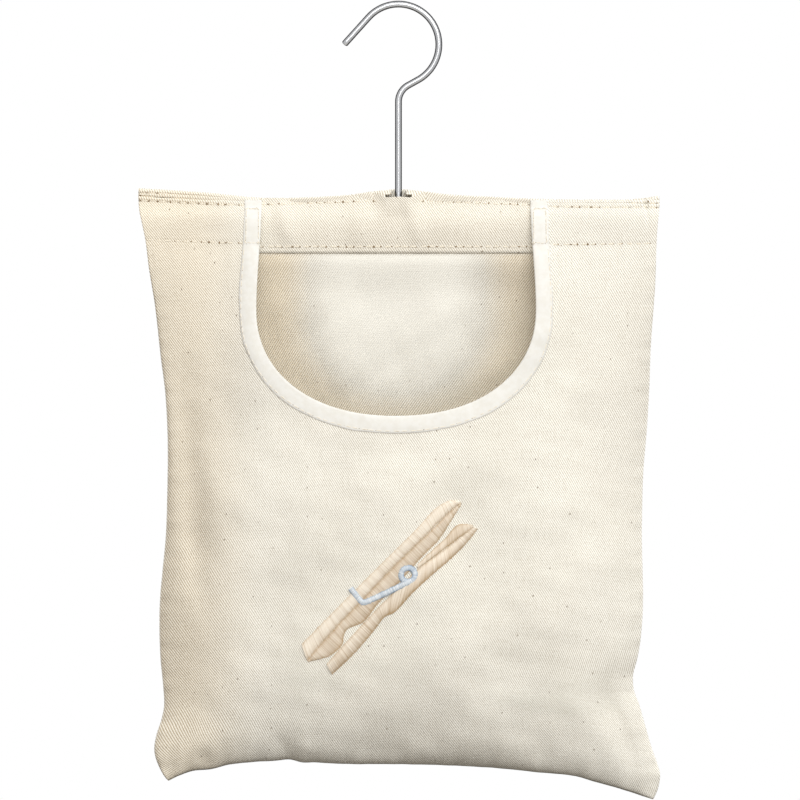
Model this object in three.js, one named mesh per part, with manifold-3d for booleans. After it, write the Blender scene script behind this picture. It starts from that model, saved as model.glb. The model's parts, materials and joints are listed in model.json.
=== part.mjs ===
// Peg bag: a cotton twill bag on a wooden bar, hung by a steel wire hook that swivels in the bar.
// Millimetres, +Z up, the front faces -Y. The origin is where a clothes line bears inside the hook.
import * as THREE from "three";
import { mergeVertices } from "three/addons/utils/BufferGeometryUtils.js";
import Module from "manifold-3d";

const wasm = await Module();
wasm.setup();

// Hook: one bent wire with a straight lead-in, a round bow, an offset neck and a peened lower end
const wireDiameter = 4;
const hookInnerRadius = 21.6;
const hookTipLength = 20.5;
const hookTipSlope = THREE.MathUtils.degToRad(48);
const hookThroatAngle = THREE.MathUtils.degToRad(61); // how far past level the bow runs into the neck
const neckBendRadius = 11;
const hookDrop = 120.5; // from the line's seat down to the top of the bar
const hookHeadDiameter = 5.4;
const hookHeadThickness = 1.6;
const wireSides = 12;
const headSides = 24;
const wireSteps = 72;

// Bar and washer
const barEndSpace = 13.5; // from each side edge of the bag to the bar's end
const barHeight = 12;
const barThickness = 8;
const washerDiameter = 6.2;
const washerThickness = 1;
const runningGap = 0.3; // between pieces that turn or rest on each other

// Cloth
const clothThickness = 0.9;
const layerGap = 0.5; // between two sewn layers
const sleeveGap = 0.4; // between the bar and the casing round it
const rockAngle = THREE.MathUtils.degToRad(6); // how far the casing can rock on the bar
const bindingThickness = 0.6;
const bindingWidth = 10;
const bindingBackWidth = 8;
const bindingGap = 0.45; // between the binding and the cloth edge that it wraps
const bindingWrap = 1.2; // how far the binding stands beyond the raw edge

// Bag as hung
const bagWidth = 305;
const casingDepth = 19.5; // from the bar's top to the hem's stitch line
const stitchRise = 6.5; // from the bar's top up to the top stitch line
const ridgeHeight = 7.6; // cloth standing above the top stitch line
const ridgeWave = 2.6; // how much the top edge rises at the hook and at the corners
const bodyDrop = 301; // from the hem's stitch line to the bottom seam
const frontDepth = 34;
const backDepth = 32;
const fullestShare = 0.28; // where the bag is deepest, as a share of the body's height
const hemTuck = 3.5; // hem turned under past its stitch line
const hookSlotLength = 11;
const hookSlotWidth = 8.4;

// Side edges: [share of the drop below the bar's top, share of the draw], at each turn of the edge
const sideDraw = 17; // how far the side edges draw in
const leftDraw = [[0, 0.03], [0.46, 1], [0.74, 0.7], [0.89, 0.87], [0.965, 0.56], [1.03, 1.06]];
const rightDraw = [[0, 0.06], [0.7, 0.7], [0.85, 1], [1.02, 0.05], [1.065, 0.24]];
// Bottom seam: [place across the bag from -1 to 1, share of the sag above or below the seam's level]
const bottomSag = 20.5;
const bottomRise = [[-1, -0.49], [-0.5, 0.1], [0.45, -0.12], [1, -1]];

// Fullness towards each side seam: [power of the place across, power of the whole]
const frontSides = { left: [2.4, 0.62], right: [3, 0.75] };
const backSides = { left: [2.4, 0.5], right: [2.4, 0.5] };

// Main folds: from and to, each as [place across, share of the body's height], half width and height
const frontFolds = [
  { from: [-0.88, 0.92], to: [-0.73, 0.23], half: 10, height: -5 },
  { from: [0.56, 0.2], to: [0.99, -0.08], half: 9, height: 4.6 },
  { from: [0.77, 0.23], to: [0.93, 0.01], half: 7.5, height: -5 },
];
const backFolds = [
  { from: [-0.73, 0.8], to: [-0.64, 0.14], half: 12, height: -3.4 },
  { from: [0.77, 0.83], to: [0.68, 0.17], half: 12, height: -3 },
  { from: [0.59, 0.2], to: [1, -0.09], half: 10, height: 3.8 },
  { from: [-0.59, 0.17], to: [-0.89, -0.05], half: 9, height: 3.2 },
];
const foldEnd = 0.4; // share of a fold's length over which it dies out at each end
const foldHold = 2.2; // how soon the folds grow away from the seams

// Mouth: straight sides into a rounded bottom, measured between the binding's edges
const mouthWidth = 162;
const mouthDrop = 118; // from the bar's top to the lowest point
const mouthRound = 62; // height of the rounded part

// Sewing thread and embroidery
const threadDiameter = 0.8;
const threadSides = 6;
const threadSteps = 26;
const stitchGap = 0.45; // between a thread and the cloth that it lies on
const tackWidth = 7;
const tackHeight = 13;
const overlockWidth = 7;
const overlockThickness = 2;
const embroideryThickness = 0.9;
const pegAngle = THREE.MathUtils.degToRad(45);
const pegCentreX = 5.6;
const pegCentreDrop = 209.6; // from the bar's top to the spring's coil
const pegJawLength = 76;
const pegHandleLength = 50.5;
const pegUpperWidth = 15;
const pegLowerWidth = 9.6;
const pegSplay = THREE.MathUtils.degToRad(7.5);
const pegLegGap = 1.4; // between the two legs where they lie side by side
const coilRadius = 4;
const springWidth = 3.2;
const springThickness = 0.9;
const springArm = 30.5;
const springHook = 9.3; // bent end that goes over the upper leg

// Levels that follow from the sizes above
const wireRadius = wireDiameter / 2;
const bowRadius = hookInnerRadius + wireRadius;
const barTop = -hookDrop;
const barLength = bagWidth - 2 * barEndSpace;
const barAxis = barTop - barThickness / 2; // centre of the bar's rounded top, and the rocking axis
const barLowAxis = barTop - barHeight + barThickness / 2;
const barBottom = barTop - barHeight;
const hemLevel = barTop - casingDepth;
const seamLevel = hemLevel - bodyDrop;
const stitchLevel = barTop + stitchRise;
const layerPitch = clothThickness + layerGap;
const bindingPitch = clothThickness + bindingThickness + 2 * layerGap;
const ridgeHalf = layerPitch / 2;
const frontStack = bindingPitch + layerPitch; // front panel ahead of the casing's own front layer

const materials = {
  steel: new THREE.MeshStandardMaterial({ color: 0xb9b9ba, roughness: 0.25, metalness: 1 }),
  wood: new THREE.MeshStandardMaterial({ color: 0xc9a777, roughness: 0.6, metalness: 0 }),
  twill: new THREE.MeshStandardMaterial({ color: 0xece4d2, roughness: 0.9, metalness: 0 }),
  binding: new THREE.MeshStandardMaterial({ color: 0xf6f2e8, roughness: 0.85, metalness: 0 }),
  thread: new THREE.MeshStandardMaterial({ color: 0xe9dfc8, roughness: 0.7, metalness: 0 }),
  beige: new THREE.MeshStandardMaterial({ color: 0xdcc39c, roughness: 0.55, metalness: 0 }),
  blue: new THREE.MeshStandardMaterial({ color: 0xb4c4d6, roughness: 0.5, metalness: 0 }),
};

const bag = new THREE.Group();

function addPiece(name, geometry, material) {
  const mesh = new THREE.Mesh(geometry, material);
  mesh.name = name;
  bag.add(mesh);
}

// Solids: a closed geometry to a manifold and back
function toSolid(geometry) {
  const bare = geometry.clone();
  bare.deleteAttribute("normal");
  bare.deleteAttribute("uv");
  const merged = mergeVertices(bare, 1e-4);
  return new wasm.Manifold(
    new wasm.Mesh({
      numProp: 3,
      vertProperties: new Float32Array(merged.attributes.position.array),
      triVerts: new Uint32Array(merged.index.array),
    }),
  );
}

function toGeometry(solid) {
  const mesh = solid.getMesh();
  const geometry = new THREE.BufferGeometry();
  geometry.setAttribute("position", new THREE.BufferAttribute(mesh.vertProperties, 3));
  geometry.setIndex(new THREE.BufferAttribute(mesh.triVerts, 1));
  return geometry;
}

function uprightCylinder(radius, low, high, sides) {
  const geometry = new THREE.CylinderGeometry(radius, radius, high - low, sides);
  return geometry.rotateX(Math.PI / 2).translate(0, 0, (low + high) / 2);
}

// A closed sheet of the given thickness on a grid of points, grid[column][row]
function sheetGeometry(grid, thicknessAt, edgeNormal = () => null) {
  const columns = grid.length;
  const rows = grid[0].length;
  const vertices = [];
  const at = (i, j) => grid[Math.min(Math.max(i, 0), columns - 1)][Math.min(Math.max(j, 0), rows - 1)];
  for (const side of [1, -1]) {
    for (let i = 0; i < columns; i++) {
      for (let j = 0; j < rows; j++) {
        const across = at(i + 1, j).clone().sub(at(i - 1, j));
        const along = at(i, j + 1).clone().sub(at(i, j - 1));
        const normal = across.cross(along).normalize();
        const forced = edgeNormal(i, j, normal);
        const offset = (side * thicknessAt(i, j)) / 2;
        vertices.push(...at(i, j).clone().addScaledVector(forced ?? normal, offset));
      }
    }
  }
  const index = [];
  const far = columns * rows;
  const quad = (a, b, c, d) => index.push(a, b, c, a, c, d);
  for (let i = 0; i + 1 < columns; i++) {
    for (let j = 0; j + 1 < rows; j++) {
      const a = i * rows + j;
      const b = a + rows;
      quad(a, b, b + 1, a + 1);
      quad(far + a + 1, far + b + 1, far + b, far + a);
    }
  }
  const wall = (a, b) => quad(a, far + a, far + b, b);
  for (let i = 0; i + 1 < columns; i++) {
    wall(i * rows, (i + 1) * rows);
    wall((i + 2) * rows - 1, (i + 1) * rows - 1);
  }
  for (let j = 0; j + 1 < rows; j++) {
    wall(j + 1, j);
    wall((columns - 1) * rows + j, (columns - 1) * rows + j + 1);
  }
  const geometry = new THREE.BufferGeometry();
  geometry.setAttribute("position", new THREE.Float32BufferAttribute(vertices, 3));
  geometry.setIndex(index);
  return geometry;
}

// A round strand along a path; a full circle takes two sides for each curve segment
function strandGeometry(extrudePath, diameter, sides, steps) {
  const section = new THREE.Shape();
  section.absarc(0, 0, diameter / 2, 0, 2 * Math.PI);
  return new THREE.ExtrudeGeometry(section, { steps, curveSegments: sides / 2, extrudePath });
}

function threadGeometry(points, diameter, sides, steps) {
  const path = new THREE.CatmullRomCurve3(points, false, "centripetal");
  return strandGeometry(path, diameter, sides, steps);
}

const lerp = THREE.MathUtils.lerp;
const ease = (t) => THREE.MathUtils.smoothstep(t, 0, 1);

// A smooth line through turning points, level at each of them
function turns(points, t) {
  const next = points.findIndex(([place]) => place >= t);
  if (next === 0) return points[0][1];
  if (next < 0) return points.at(-1)[1];
  const [fromPlace, fromValue] = points[next - 1];
  const [toPlace, toValue] = points[next];
  return lerp(fromValue, toValue, ease((t - fromPlace) / (toPlace - fromPlace)));
}

// Bag outline and surfaces

function halfWidth(side, level) {
  const share = (barTop - level) / (casingDepth + bodyDrop);
  return bagWidth / 2 - sideDraw * turns(side < 0 ? leftDraw : rightDraw, share);
}

const bottomLevel = (across) => seamLevel + bottomSag * turns(bottomRise, across);
const placeAcross = (across, level) => across * halfWidth(across, level);

function ridgeTop(x) {
  return stitchLevel + ridgeHeight - ridgeWave + ridgeWave * Math.cos((4 * Math.PI * x) / bagWidth);
}

// Casing section: [level, half depth], from the hem's stitch line up to the top stitch line
const sleeveRadius = barThickness / 2 + sleeveGap + clothThickness / 2;
const sleeveFlare = Math.tan(rockAngle) * (barAxis - barLowAxis);
const sleeveHeel = 2; // straight run below the bar's lower rounding, so that the bar can rock
const tangentAngle = (() => {
  const rise = stitchLevel - barAxis;
  const reach = Math.hypot(ridgeHalf, rise);
  return Math.PI / 2 - Math.atan(ridgeHalf / rise) - Math.acos(sleeveRadius / reach);
})();
const arcPoint = (angle) => [barAxis + sleeveRadius * Math.sin(angle), sleeveRadius * Math.cos(angle)];
const sleeveProfile = [
  [hemLevel, ridgeHalf],
  [barLowAxis - sleeveHeel, sleeveRadius + sleeveFlare],
  [barLowAxis, sleeveRadius + sleeveFlare],
  arcPoint(0),
  arcPoint(tangentAngle / 2),
  arcPoint(tangentAngle),
  [stitchLevel, ridgeHalf],
];

// The casing closes flat from just beyond the ends of the bar to the side edges
const barEndGap = 2.5;
const pinchStart = barLength / 2 + barEndGap;
const pinchRun = barEndSpace - barEndGap;

function sleeveHalf(x, level) {
  const open = 1 - THREE.MathUtils.clamp((Math.abs(x) - pinchStart) / pinchRun, 0, 1);
  const next = sleeveProfile.findIndex(([place]) => place >= level);
  if (next <= 0) return ridgeHalf;
  const [fromLevel, fromHalf] = sleeveProfile[next - 1];
  const [toLevel, toHalf] = sleeveProfile[next];
  const full = lerp(fromHalf, toHalf, (level - fromLevel) / (toLevel - fromLevel));
  return lerp(ridgeHalf, full, open);
}

// How far a panel stands out from the side seam's plane: full above the bottom, dying out at the hem
const footRoundness = 2.2;
const shoulderFullness = 1.3;

function swell(rise) {
  if (rise <= fullestShare) return Math.sqrt(Math.max(0, 1 - (1 - rise / fullestShare) ** footRoundness));
  const fade = (rise - fullestShare) / (1 - fullestShare);
  return Math.cos((Math.PI / 2) * fade ** shoulderFullness);
}

function acrossShape(across, { left, right }) {
  const [roundness, fullness] = across < 0 ? left : right;
  return (1 - Math.abs(across) ** roundness) ** fullness;
}

const foldPoint = ([across, rise]) => new THREE.Vector2((across * bagWidth) / 2, seamLevel + rise * bodyDrop);

function foldLift(folds, x, level) {
  let lift = 0;
  for (const { from, to, half, height } of folds) {
    const start = foldPoint(from);
    const run = foldPoint(to).sub(start);
    const reach = new THREE.Vector2(x, level).sub(start);
    const share = reach.dot(run) / run.lengthSq();
    const aside = run.cross(reach) / run.length();
    lift += height * ease(share / foldEnd) * ease((1 - share) / foldEnd) * Math.exp(-((aside / half) ** 2));
  }
  return lift;
}

const seamHalfGap = 0.15; // half the gap between the panels where they meet
const joinStart = 0.6; // share of the body's height where the side edges start to spread to the casing
const frontForm = { depth: frontDepth, sides: frontSides, folds: frontFolds };
const backForm = { depth: backDepth, sides: backSides, folds: backFolds };

function panelOut(x, level, { depth, sides, folds }, outAtHem) {
  const across = THREE.MathUtils.clamp(x / halfWidth(x, level), -1, 1);
  const bottom = bottomLevel(across);
  const rise = (level - bottom) / (hemLevel - bottom);
  const edge = lerp(seamHalfGap, outAtHem, THREE.MathUtils.smoothstep(rise, joinStart, 1));
  const full = swell(rise) * acrossShape(across, sides);
  return edge + depth * full + foldLift(folds, x, level) * Math.min(foldHold * full, 1);
}

// The front isn't sewn to the casing below the top stitch line: from the bar's front it hangs straight down
const frontHalf = (x, level) => sleeveHalf(x, Math.max(level, barLowAxis));

// Front face of the bag at a place on the front, as the distance in front of the bar's plane
function frontOut(x, level) {
  const outAtHem = frontHalf(x, level) + frontStack;
  return level >= hemLevel ? outAtHem : panelOut(x, level, frontForm, outAtHem);
}

const onFront = (x, level, lift) => new THREE.Vector3(x, -frontOut(x, level) - lift, level);

// Panels: one piece of cloth each, from the bottom seam up, over the top edge and down again as the hem

const pinchAcross = pinchStart / (bagWidth / 2);
const innerColumns = 10;
const innerSpread = 0.8; // columns crowd a little towards the sides
const panelColumns = [];
const spreadAngle = (Math.PI / 2) * innerSpread;
for (let k = -innerColumns; k <= innerColumns; k++) {
  const spread = Math.sin((spreadAngle * k) / innerColumns) / Math.sin(spreadAngle);
  panelColumns.push(pinchAcross * spread);
}
for (const t of [0.45, 0.8, 1]) {
  panelColumns.push(lerp(pinchAcross, 1, t));
  panelColumns.unshift(-lerp(pinchAcross, 1, t));
}
const bodyRows = 16;
const bodyRises = [];
for (let k = 0; k < bodyRows; k++) bodyRises.push((1 - Math.cos((Math.PI * k) / bodyRows)) / 2);
const foldAngles = [45, 90, 135].map(THREE.MathUtils.degToRad);

function panelGeometry({ facing, form, half, outer, inner }) {
  const grid = [];
  for (const place of panelColumns) {
    const across = -facing * place;
    const column = bodyRises.map((rise) => {
      const level = lerp(bottomLevel(across), hemLevel, rise);
      const x = placeAcross(across, level);
      const out = panelOut(x, level, form, half(x, hemLevel) + outer);
      return new THREE.Vector3(x, facing * out, level);
    });
    const layer = (offset, levels) => levels.forEach((level) => {
      const x = placeAcross(across, level);
      column.push(new THREE.Vector3(x, offset(half(x, level)), level));
    });
    const top = ridgeTop(placeAcross(across, stitchLevel)) - layerPitch / 2;
    const levels = [...sleeveProfile.map(([level]) => level), top];
    layer((out) => facing * (out + outer), levels);
    const foldCentre = facing * (ridgeHalf + outer - layerPitch / 2);
    for (const angle of foldAngles) {
      const y = foldCentre + (facing * Math.cos(angle) * layerPitch) / 2;
      const z = top + (Math.sin(angle) * layerPitch) / 2;
      column.push(new THREE.Vector3(placeAcross(across, stitchLevel), y, z));
    }
    const innerLayer = (out) => (inner < 0 ? -facing * out : facing * (out + inner));
    layer(innerLayer, levels.reverse());
    const tuckLevel = hemLevel - hemTuck;
    const tuckX = placeAcross(across, tuckLevel);
    const tuckY = inner < 0 ? -facing * ridgeHalf : facing * (frontOut(tuckX, tuckLevel) - layerPitch);
    column.push(new THREE.Vector3(tuckX, tuckY, tuckLevel));
    grid.push(column);
  }
  // Where two panels meet, the cloth runs straight into the seam
  const lastColumn = grid.length - 1;
  const seamNormal = (i, j, normal) => {
    const side = i === 0 ? -1 : i === lastColumn ? 1 : 0;
    const foot = j === 0 ? -1 : 0;
    if (j >= bodyRows || (!side && !foot)) return null;
    const outward = new THREE.Vector3(-facing * side, 0, foot).normalize();
    return outward.lerp(normal, THREE.MathUtils.smoothstep(bodyRises[j], joinStart, 1)).normalize();
  };
  return sheetGeometry(grid, () => clothThickness, seamNormal);
}

// Mouth cut through the front panel, as a tall prism
const mouthHalf = mouthWidth / 2 + bindingWrap;
const mouthLow = barTop - mouthDrop - bindingWrap;
const mouthBend = mouthLow + mouthRound;
const bendSteps = 22;

function mouthPrism() {
  const above = stitchLevel + 2 * ridgeHeight;
  const outline = new THREE.Shape();
  outline.moveTo(-mouthHalf, above);
  outline.lineTo(-mouthHalf, mouthBend);
  outline.absellipse(0, mouthBend, mouthHalf, mouthRound, Math.PI, 2 * Math.PI, false);
  outline.lineTo(mouthHalf, above);
  const depth = 4 * frontDepth;
  const prism = new THREE.ExtrudeGeometry(outline, { depth, curveSegments: bendSteps, bevelEnabled: false });
  return prism.rotateX(Math.PI / 2).translate(0, depth / 2, 0);
}

function frontPanel() {
  const layers = { half: frontHalf, outer: frontStack, inner: bindingPitch };
  const panel = panelGeometry({ facing: -1, form: frontForm, ...layers });
  return toGeometry(toSolid(panel).subtract(toSolid(mouthPrism())));
}

function backPanel() {
  const panel = panelGeometry({ facing: 1, form: backForm, half: sleeveHalf, outer: 0, inner: -1 });
  const slotTop = stitchLevel + 2 * ridgeHeight;
  const slot = new THREE.BoxGeometry(hookSlotLength, hookSlotWidth, slotTop - barTop);
  slot.translate(0, 0, (slotTop + barTop) / 2);
  return toGeometry(toSolid(panel).subtract(toSolid(slot)));
}

// Points along the mouth's raw edge from the left shoulder round to the right, with the way into the cloth
const shoulderTop = ridgeTop(mouthHalf);
function mouthEdge(straight) {
  const edge = [];
  straight.forEach((z) => edge.push({ x: -mouthHalf, z, nx: -1, nz: 0 }));
  for (let k = 0; k <= bendSteps; k++) {
    const angle = Math.PI + (Math.PI * k) / bendSteps;
    const normal = new THREE.Vector2(Math.cos(angle) / mouthHalf, Math.sin(angle) / mouthRound).normalize();
    const x = mouthHalf * Math.cos(angle);
    edge.push({ x, z: mouthBend + mouthRound * Math.sin(angle), nx: normal.x, nz: normal.y });
  }
  straight.toReversed().forEach((z) => edge.push({ x: mouthHalf, z, nx: 1, nz: 0 }));
  return edge;
}

const bindingLift = clothThickness / 2 + bindingGap + bindingThickness / 2;
const sideLevels = bodyRises
  .map((rise) => lerp(seamLevel, hemLevel, rise))
  .filter((level) => level < hemLevel - 2 * hemTuck && level > mouthBend)
  .reverse();
const hemFade = 18; // below the hem's tuck the binding's back leaf comes forward over this height

function bindingGeometry() {
  const casingLevels = sleeveProfile.map(([level]) => level).reverse();
  const tuckLevel = hemLevel - hemTuck;
  const straight = [shoulderTop - layerPitch, ...casingLevels, tuckLevel, ...sideLevels];
  const grid = mouthEdge(straight).map(({ x, z, nx, nz }) => {
    const behindHem = THREE.MathUtils.smoothstep(z, hemLevel - hemTuck - hemFade, hemLevel - hemTuck);
    const backLift = -bindingLift - layerGap / 2 - behindHem * (layerPitch - layerGap / 2);
    const lip = -(bindingWrap - bindingThickness / 2);
    const row = (into, lift) => onFront(x + nx * into, z + nz * into, lift);
    return [
      row(bindingWidth - bindingWrap, bindingLift),
      row(bindingWidth / 2 - bindingWrap, bindingLift),
      row(lip, bindingLift),
      row(lip, backLift),
      row(bindingBackWidth / 2 - bindingWrap, backLift),
      row(bindingBackWidth - bindingWrap, backLift),
    ];
  });
  return sheetGeometry(grid, () => bindingThickness);
}

// Overlocked seam allowances on the inside, thin at the seam and full at the inner edge
const overlockSetback = clothThickness / 2 + 2 * runningGap;
const overlockFeather = 0.4; // thickness where the strip runs into the seam
const overlockSteps = 10;
const sideSeamFoot = 48; // from the bottom seam up to the side strip's lower end
const sideSeamHead = 90; // from the hem's stitch line down to its upper end
const bottomSeamShare = 0.78; // how far across the bag the bottom strip reaches

function overlockGeometry(outerPoint, inward) {
  const grid = [];
  for (let k = 0; k <= overlockSteps; k++) {
    const point = outerPoint(k / overlockSteps);
    const away = inward(point);
    grid.push([
      point.clone().addScaledVector(away, overlockSetback),
      point.clone().addScaledVector(away, overlockSetback + overlockWidth),
    ]);
  }
  return sheetGeometry(grid, (i, j) => (j ? overlockThickness : overlockFeather));
}

function sideSeam(side) {
  const seamPoint = (t) => {
    const upward = side < 0 ? 1 - t : t;
    const level = lerp(bottomLevel(side) + sideSeamFoot, hemLevel - sideSeamHead, upward);
    return new THREE.Vector3(placeAcross(side, level), 0, level);
  };
  return overlockGeometry(seamPoint, () => new THREE.Vector3(-side, 0, 0));
}

function bottomSeam() {
  const seamPoint = (t) => {
    const across = lerp(-bottomSeamShare, bottomSeamShare, t);
    const level = bottomLevel(across);
    return new THREE.Vector3(placeAcross(across, level), 0, level);
  };
  return overlockGeometry(seamPoint, () => new THREE.Vector3(0, 0, 1));
}

// Sewing threads, each lying on the face that it shows on
const threadLift = clothThickness / 2 + stitchGap + threadDiameter / 2;
const shoulderInner = mouthHalf + bindingWidth;
const shoulderOuter = bagWidth / 2 - barEndGap;
const hemStitchRise = 1.5; // the front hem's stitches run just above the casing's

function rowOfStitches(fromX, toX, pointAt) {
  const points = [];
  for (let k = 0; k <= threadSteps; k++) points.push(pointAt(lerp(fromX, toX, k / threadSteps)));
  return threadGeometry(points, threadDiameter, threadSides, threadSteps);
}

const frontStitches = (side, level) =>
  rowOfStitches(side * shoulderInner, side * shoulderOuter, (x) => onFront(x, level, threadLift));

const casingStitches = (fromX, toX, level) =>
  rowOfStitches(fromX, toX, (x) => new THREE.Vector3(x, -sleeveHalf(x, level) - threadLift, level));

function bindingStitches() {
  const into = bindingWidth - bindingWrap - threadDiameter;
  const lift = bindingLift + bindingThickness / 2 + stitchGap + threadDiameter / 2;
  const edge = mouthEdge([hemLevel - hemTuck, ...sideLevels]);
  const points = edge.map(({ x, z, nx, nz }) => onFront(x + nx * into, z + nz * into, lift));
  return threadGeometry(points, threadDiameter, threadSides, 2 * threadSteps);
}

// A box of stitches that holds each end of the binding down on the shoulder
const tackInset = 0.5; // from the raw edge to the box
const sideStops = [0.06, 0.35, 0.65, 0.94]; // the thread rounds each corner of the box

function tackStitches(side) {
  const lift = bindingLift + bindingThickness / 2 + stitchGap + threadDiameter / 2;
  const nearX = mouthHalf + tackInset;
  const farX = nearX + tackWidth;
  const high = barTop;
  const low = high - tackHeight;
  const corners = [[nearX, low + 2 * threadDiameter], [nearX, high], [farX, high], [farX, low], [nearX, low]];
  const points = [];
  for (let k = 0; k + 1 < corners.length; k++) {
    for (const t of sideStops) {
      const x = side * lerp(corners[k][0], corners[k + 1][0], t);
      points.push(onFront(x, lerp(corners[k][1], corners[k + 1][1], t), lift));
    }
  }
  return threadGeometry(points, threadDiameter, threadSides, 2 * threadSteps);
}

// Embroidered spring peg, drawn along its own axis: jaws at negative places, handles at positive ones
const pegCentreLevel = barTop - pegCentreDrop;
const embroideryLift = clothThickness / 2 + stitchGap + embroideryThickness / 2;

function onPeg(along, aside, lift) {
  const x = pegCentreX + along * Math.cos(pegAngle) - aside * Math.sin(pegAngle);
  const level = pegCentreLevel + along * Math.sin(pegAngle) + aside * Math.cos(pegAngle);
  return onFront(x, level, lift);
}

const gripCentre = -46.5; // middle of the notch that grips the line
const gripRadius = 7.5;
const gripDepth = 3.4;
const saddleCentre = -29; // middle of the shallow hollow in the lower leg's outer edge
const saddleRadius = 6;
const saddleDepth = 2;
const tipLength = 13; // over which the upper jaw narrows to its tip
const tipRise = 6.5;
const endLength = 8; // over which the handles round off
const endDrop = 5;
const endSlant = 4; // how much shorter a leg is on its narrower edge
const legSteps = 26;

const hollow = (along, centre, radius) => Math.sqrt(Math.max(0, 1 - ((along - centre) / radius) ** 2));
const endShare = (along) => THREE.MathUtils.clamp(1 + (along - pegHandleLength) / endLength, 0, 1) ** 2;

function upperInner(along) {
  const splay = Math.max(0, along - coilRadius) * Math.tan(pegSplay);
  const tip = tipRise * Math.max(0, 1 - (along + pegJawLength) / tipLength);
  return pegLegGap / 2 + splay + tip + gripDepth * hollow(along, gripCentre, gripRadius);
}

const upperOuter = (along) => pegUpperWidth - endDrop * endShare(along);
const lowerInner = (along) => -pegLegGap / 2 - endDrop * endShare(along + endSlant);
const lowerOuter = (along) => saddleDepth * hollow(along, saddleCentre, saddleRadius) - pegLowerWidth;

// A leg between two edges, each edge with its own ends
function pegLeg(outer, inner, jawSlant, handleSlant) {
  const grid = [];
  for (let k = 0; k <= legSteps; k++) {
    const t = k / legSteps;
    const full = lerp(-pegJawLength, pegHandleLength, t);
    const short = lerp(jawSlant - pegJawLength, pegHandleLength - handleSlant, t);
    grid.push([0, 0.5, 1].map((u) => {
      const along = lerp(short, full, u);
      return onPeg(along, lerp(outer(short), inner(full), u), embroideryLift);
    }));
  }
  return sheetGeometry(grid, () => embroideryThickness);
}

const upperLeg = () => pegLeg(upperInner, upperOuter, 0, 0);
const lowerLeg = () => pegLeg(lowerOuter, lowerInner, endSlant, endSlant);

// Spring: most of a turn round the coil, then an arm along the legs with its end bent over the upper one
const coilTurn = THREE.MathUtils.degToRad(285);
const armAngle = THREE.MathUtils.degToRad(160);
const hookTurn = THREE.MathUtils.degToRad(74);
const springBend = 2.8; // radius of the bend between the arm and its end
const coilSteps = 24;
const bendArcSteps = 6;
const armSteps = 6;

function springPath() {
  const path = [];
  const walk = (steps, from, turn, radius, centre) => {
    for (let k = 0; k <= steps; k++) {
      const angle = from - (turn * k) / steps;
      const spoke = new THREE.Vector2(Math.cos(angle), Math.sin(angle));
      path.push(centre.clone().addScaledVector(spoke, radius));
    }
  };
  const leave = armAngle + Math.PI / 2;
  walk(coilSteps, leave + coilTurn, coilTurn, coilRadius, new THREE.Vector2());
  const armStart = path.at(-1).clone();
  const armWay = new THREE.Vector2(Math.cos(armAngle), Math.sin(armAngle));
  const run = springArm - springBend * Math.tan(hookTurn / 2);
  for (let k = 1; k < armSteps; k++) {
    path.push(armStart.clone().addScaledVector(armWay, (run * k) / armSteps));
  }
  const aside = new THREE.Vector2(armWay.y, -armWay.x).multiplyScalar(springBend);
  walk(bendArcSteps, leave, hookTurn, springBend, armStart.clone().addScaledVector(armWay, run).add(aside));
  const hookWay = new THREE.Vector2(Math.cos(armAngle - hookTurn), Math.sin(armAngle - hookTurn));
  const bendEnd = path.at(-1).clone();
  for (const t of [0.5, 1]) path.push(bendEnd.clone().addScaledVector(hookWay, springHook * t));
  return path;
}

function pegSpring() {
  const path = springPath();
  const lift = embroideryLift + embroideryThickness / 2 + stitchGap + springThickness / 2;
  const grid = path.map((point, k) => {
    const way = path[Math.min(k + 1, path.length - 1)].clone().sub(path[Math.max(k - 1, 0)]).normalize();
    const edge = new THREE.Vector2(way.y, -way.x).multiplyScalar(springWidth / 2);
    return [1, -1].map((side) => onPeg(point.x + side * edge.x, point.y + side * edge.y, lift));
  });
  return sheetGeometry(grid, () => springThickness);
}

// Hook
class PlanarArc extends THREE.Curve {
  constructor(centreX, centreZ, radius, fromAngle, toAngle) {
    super();
    Object.assign(this, { centreX, centreZ, radius, fromAngle, toAngle });
  }
  getPoint(t) {
    const angle = lerp(this.fromAngle, this.toAngle, t);
    const x = this.centreX + this.radius * Math.cos(angle);
    return new THREE.Vector3(x, 0, this.centreZ + this.radius * Math.sin(angle));
  }
}

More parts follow.
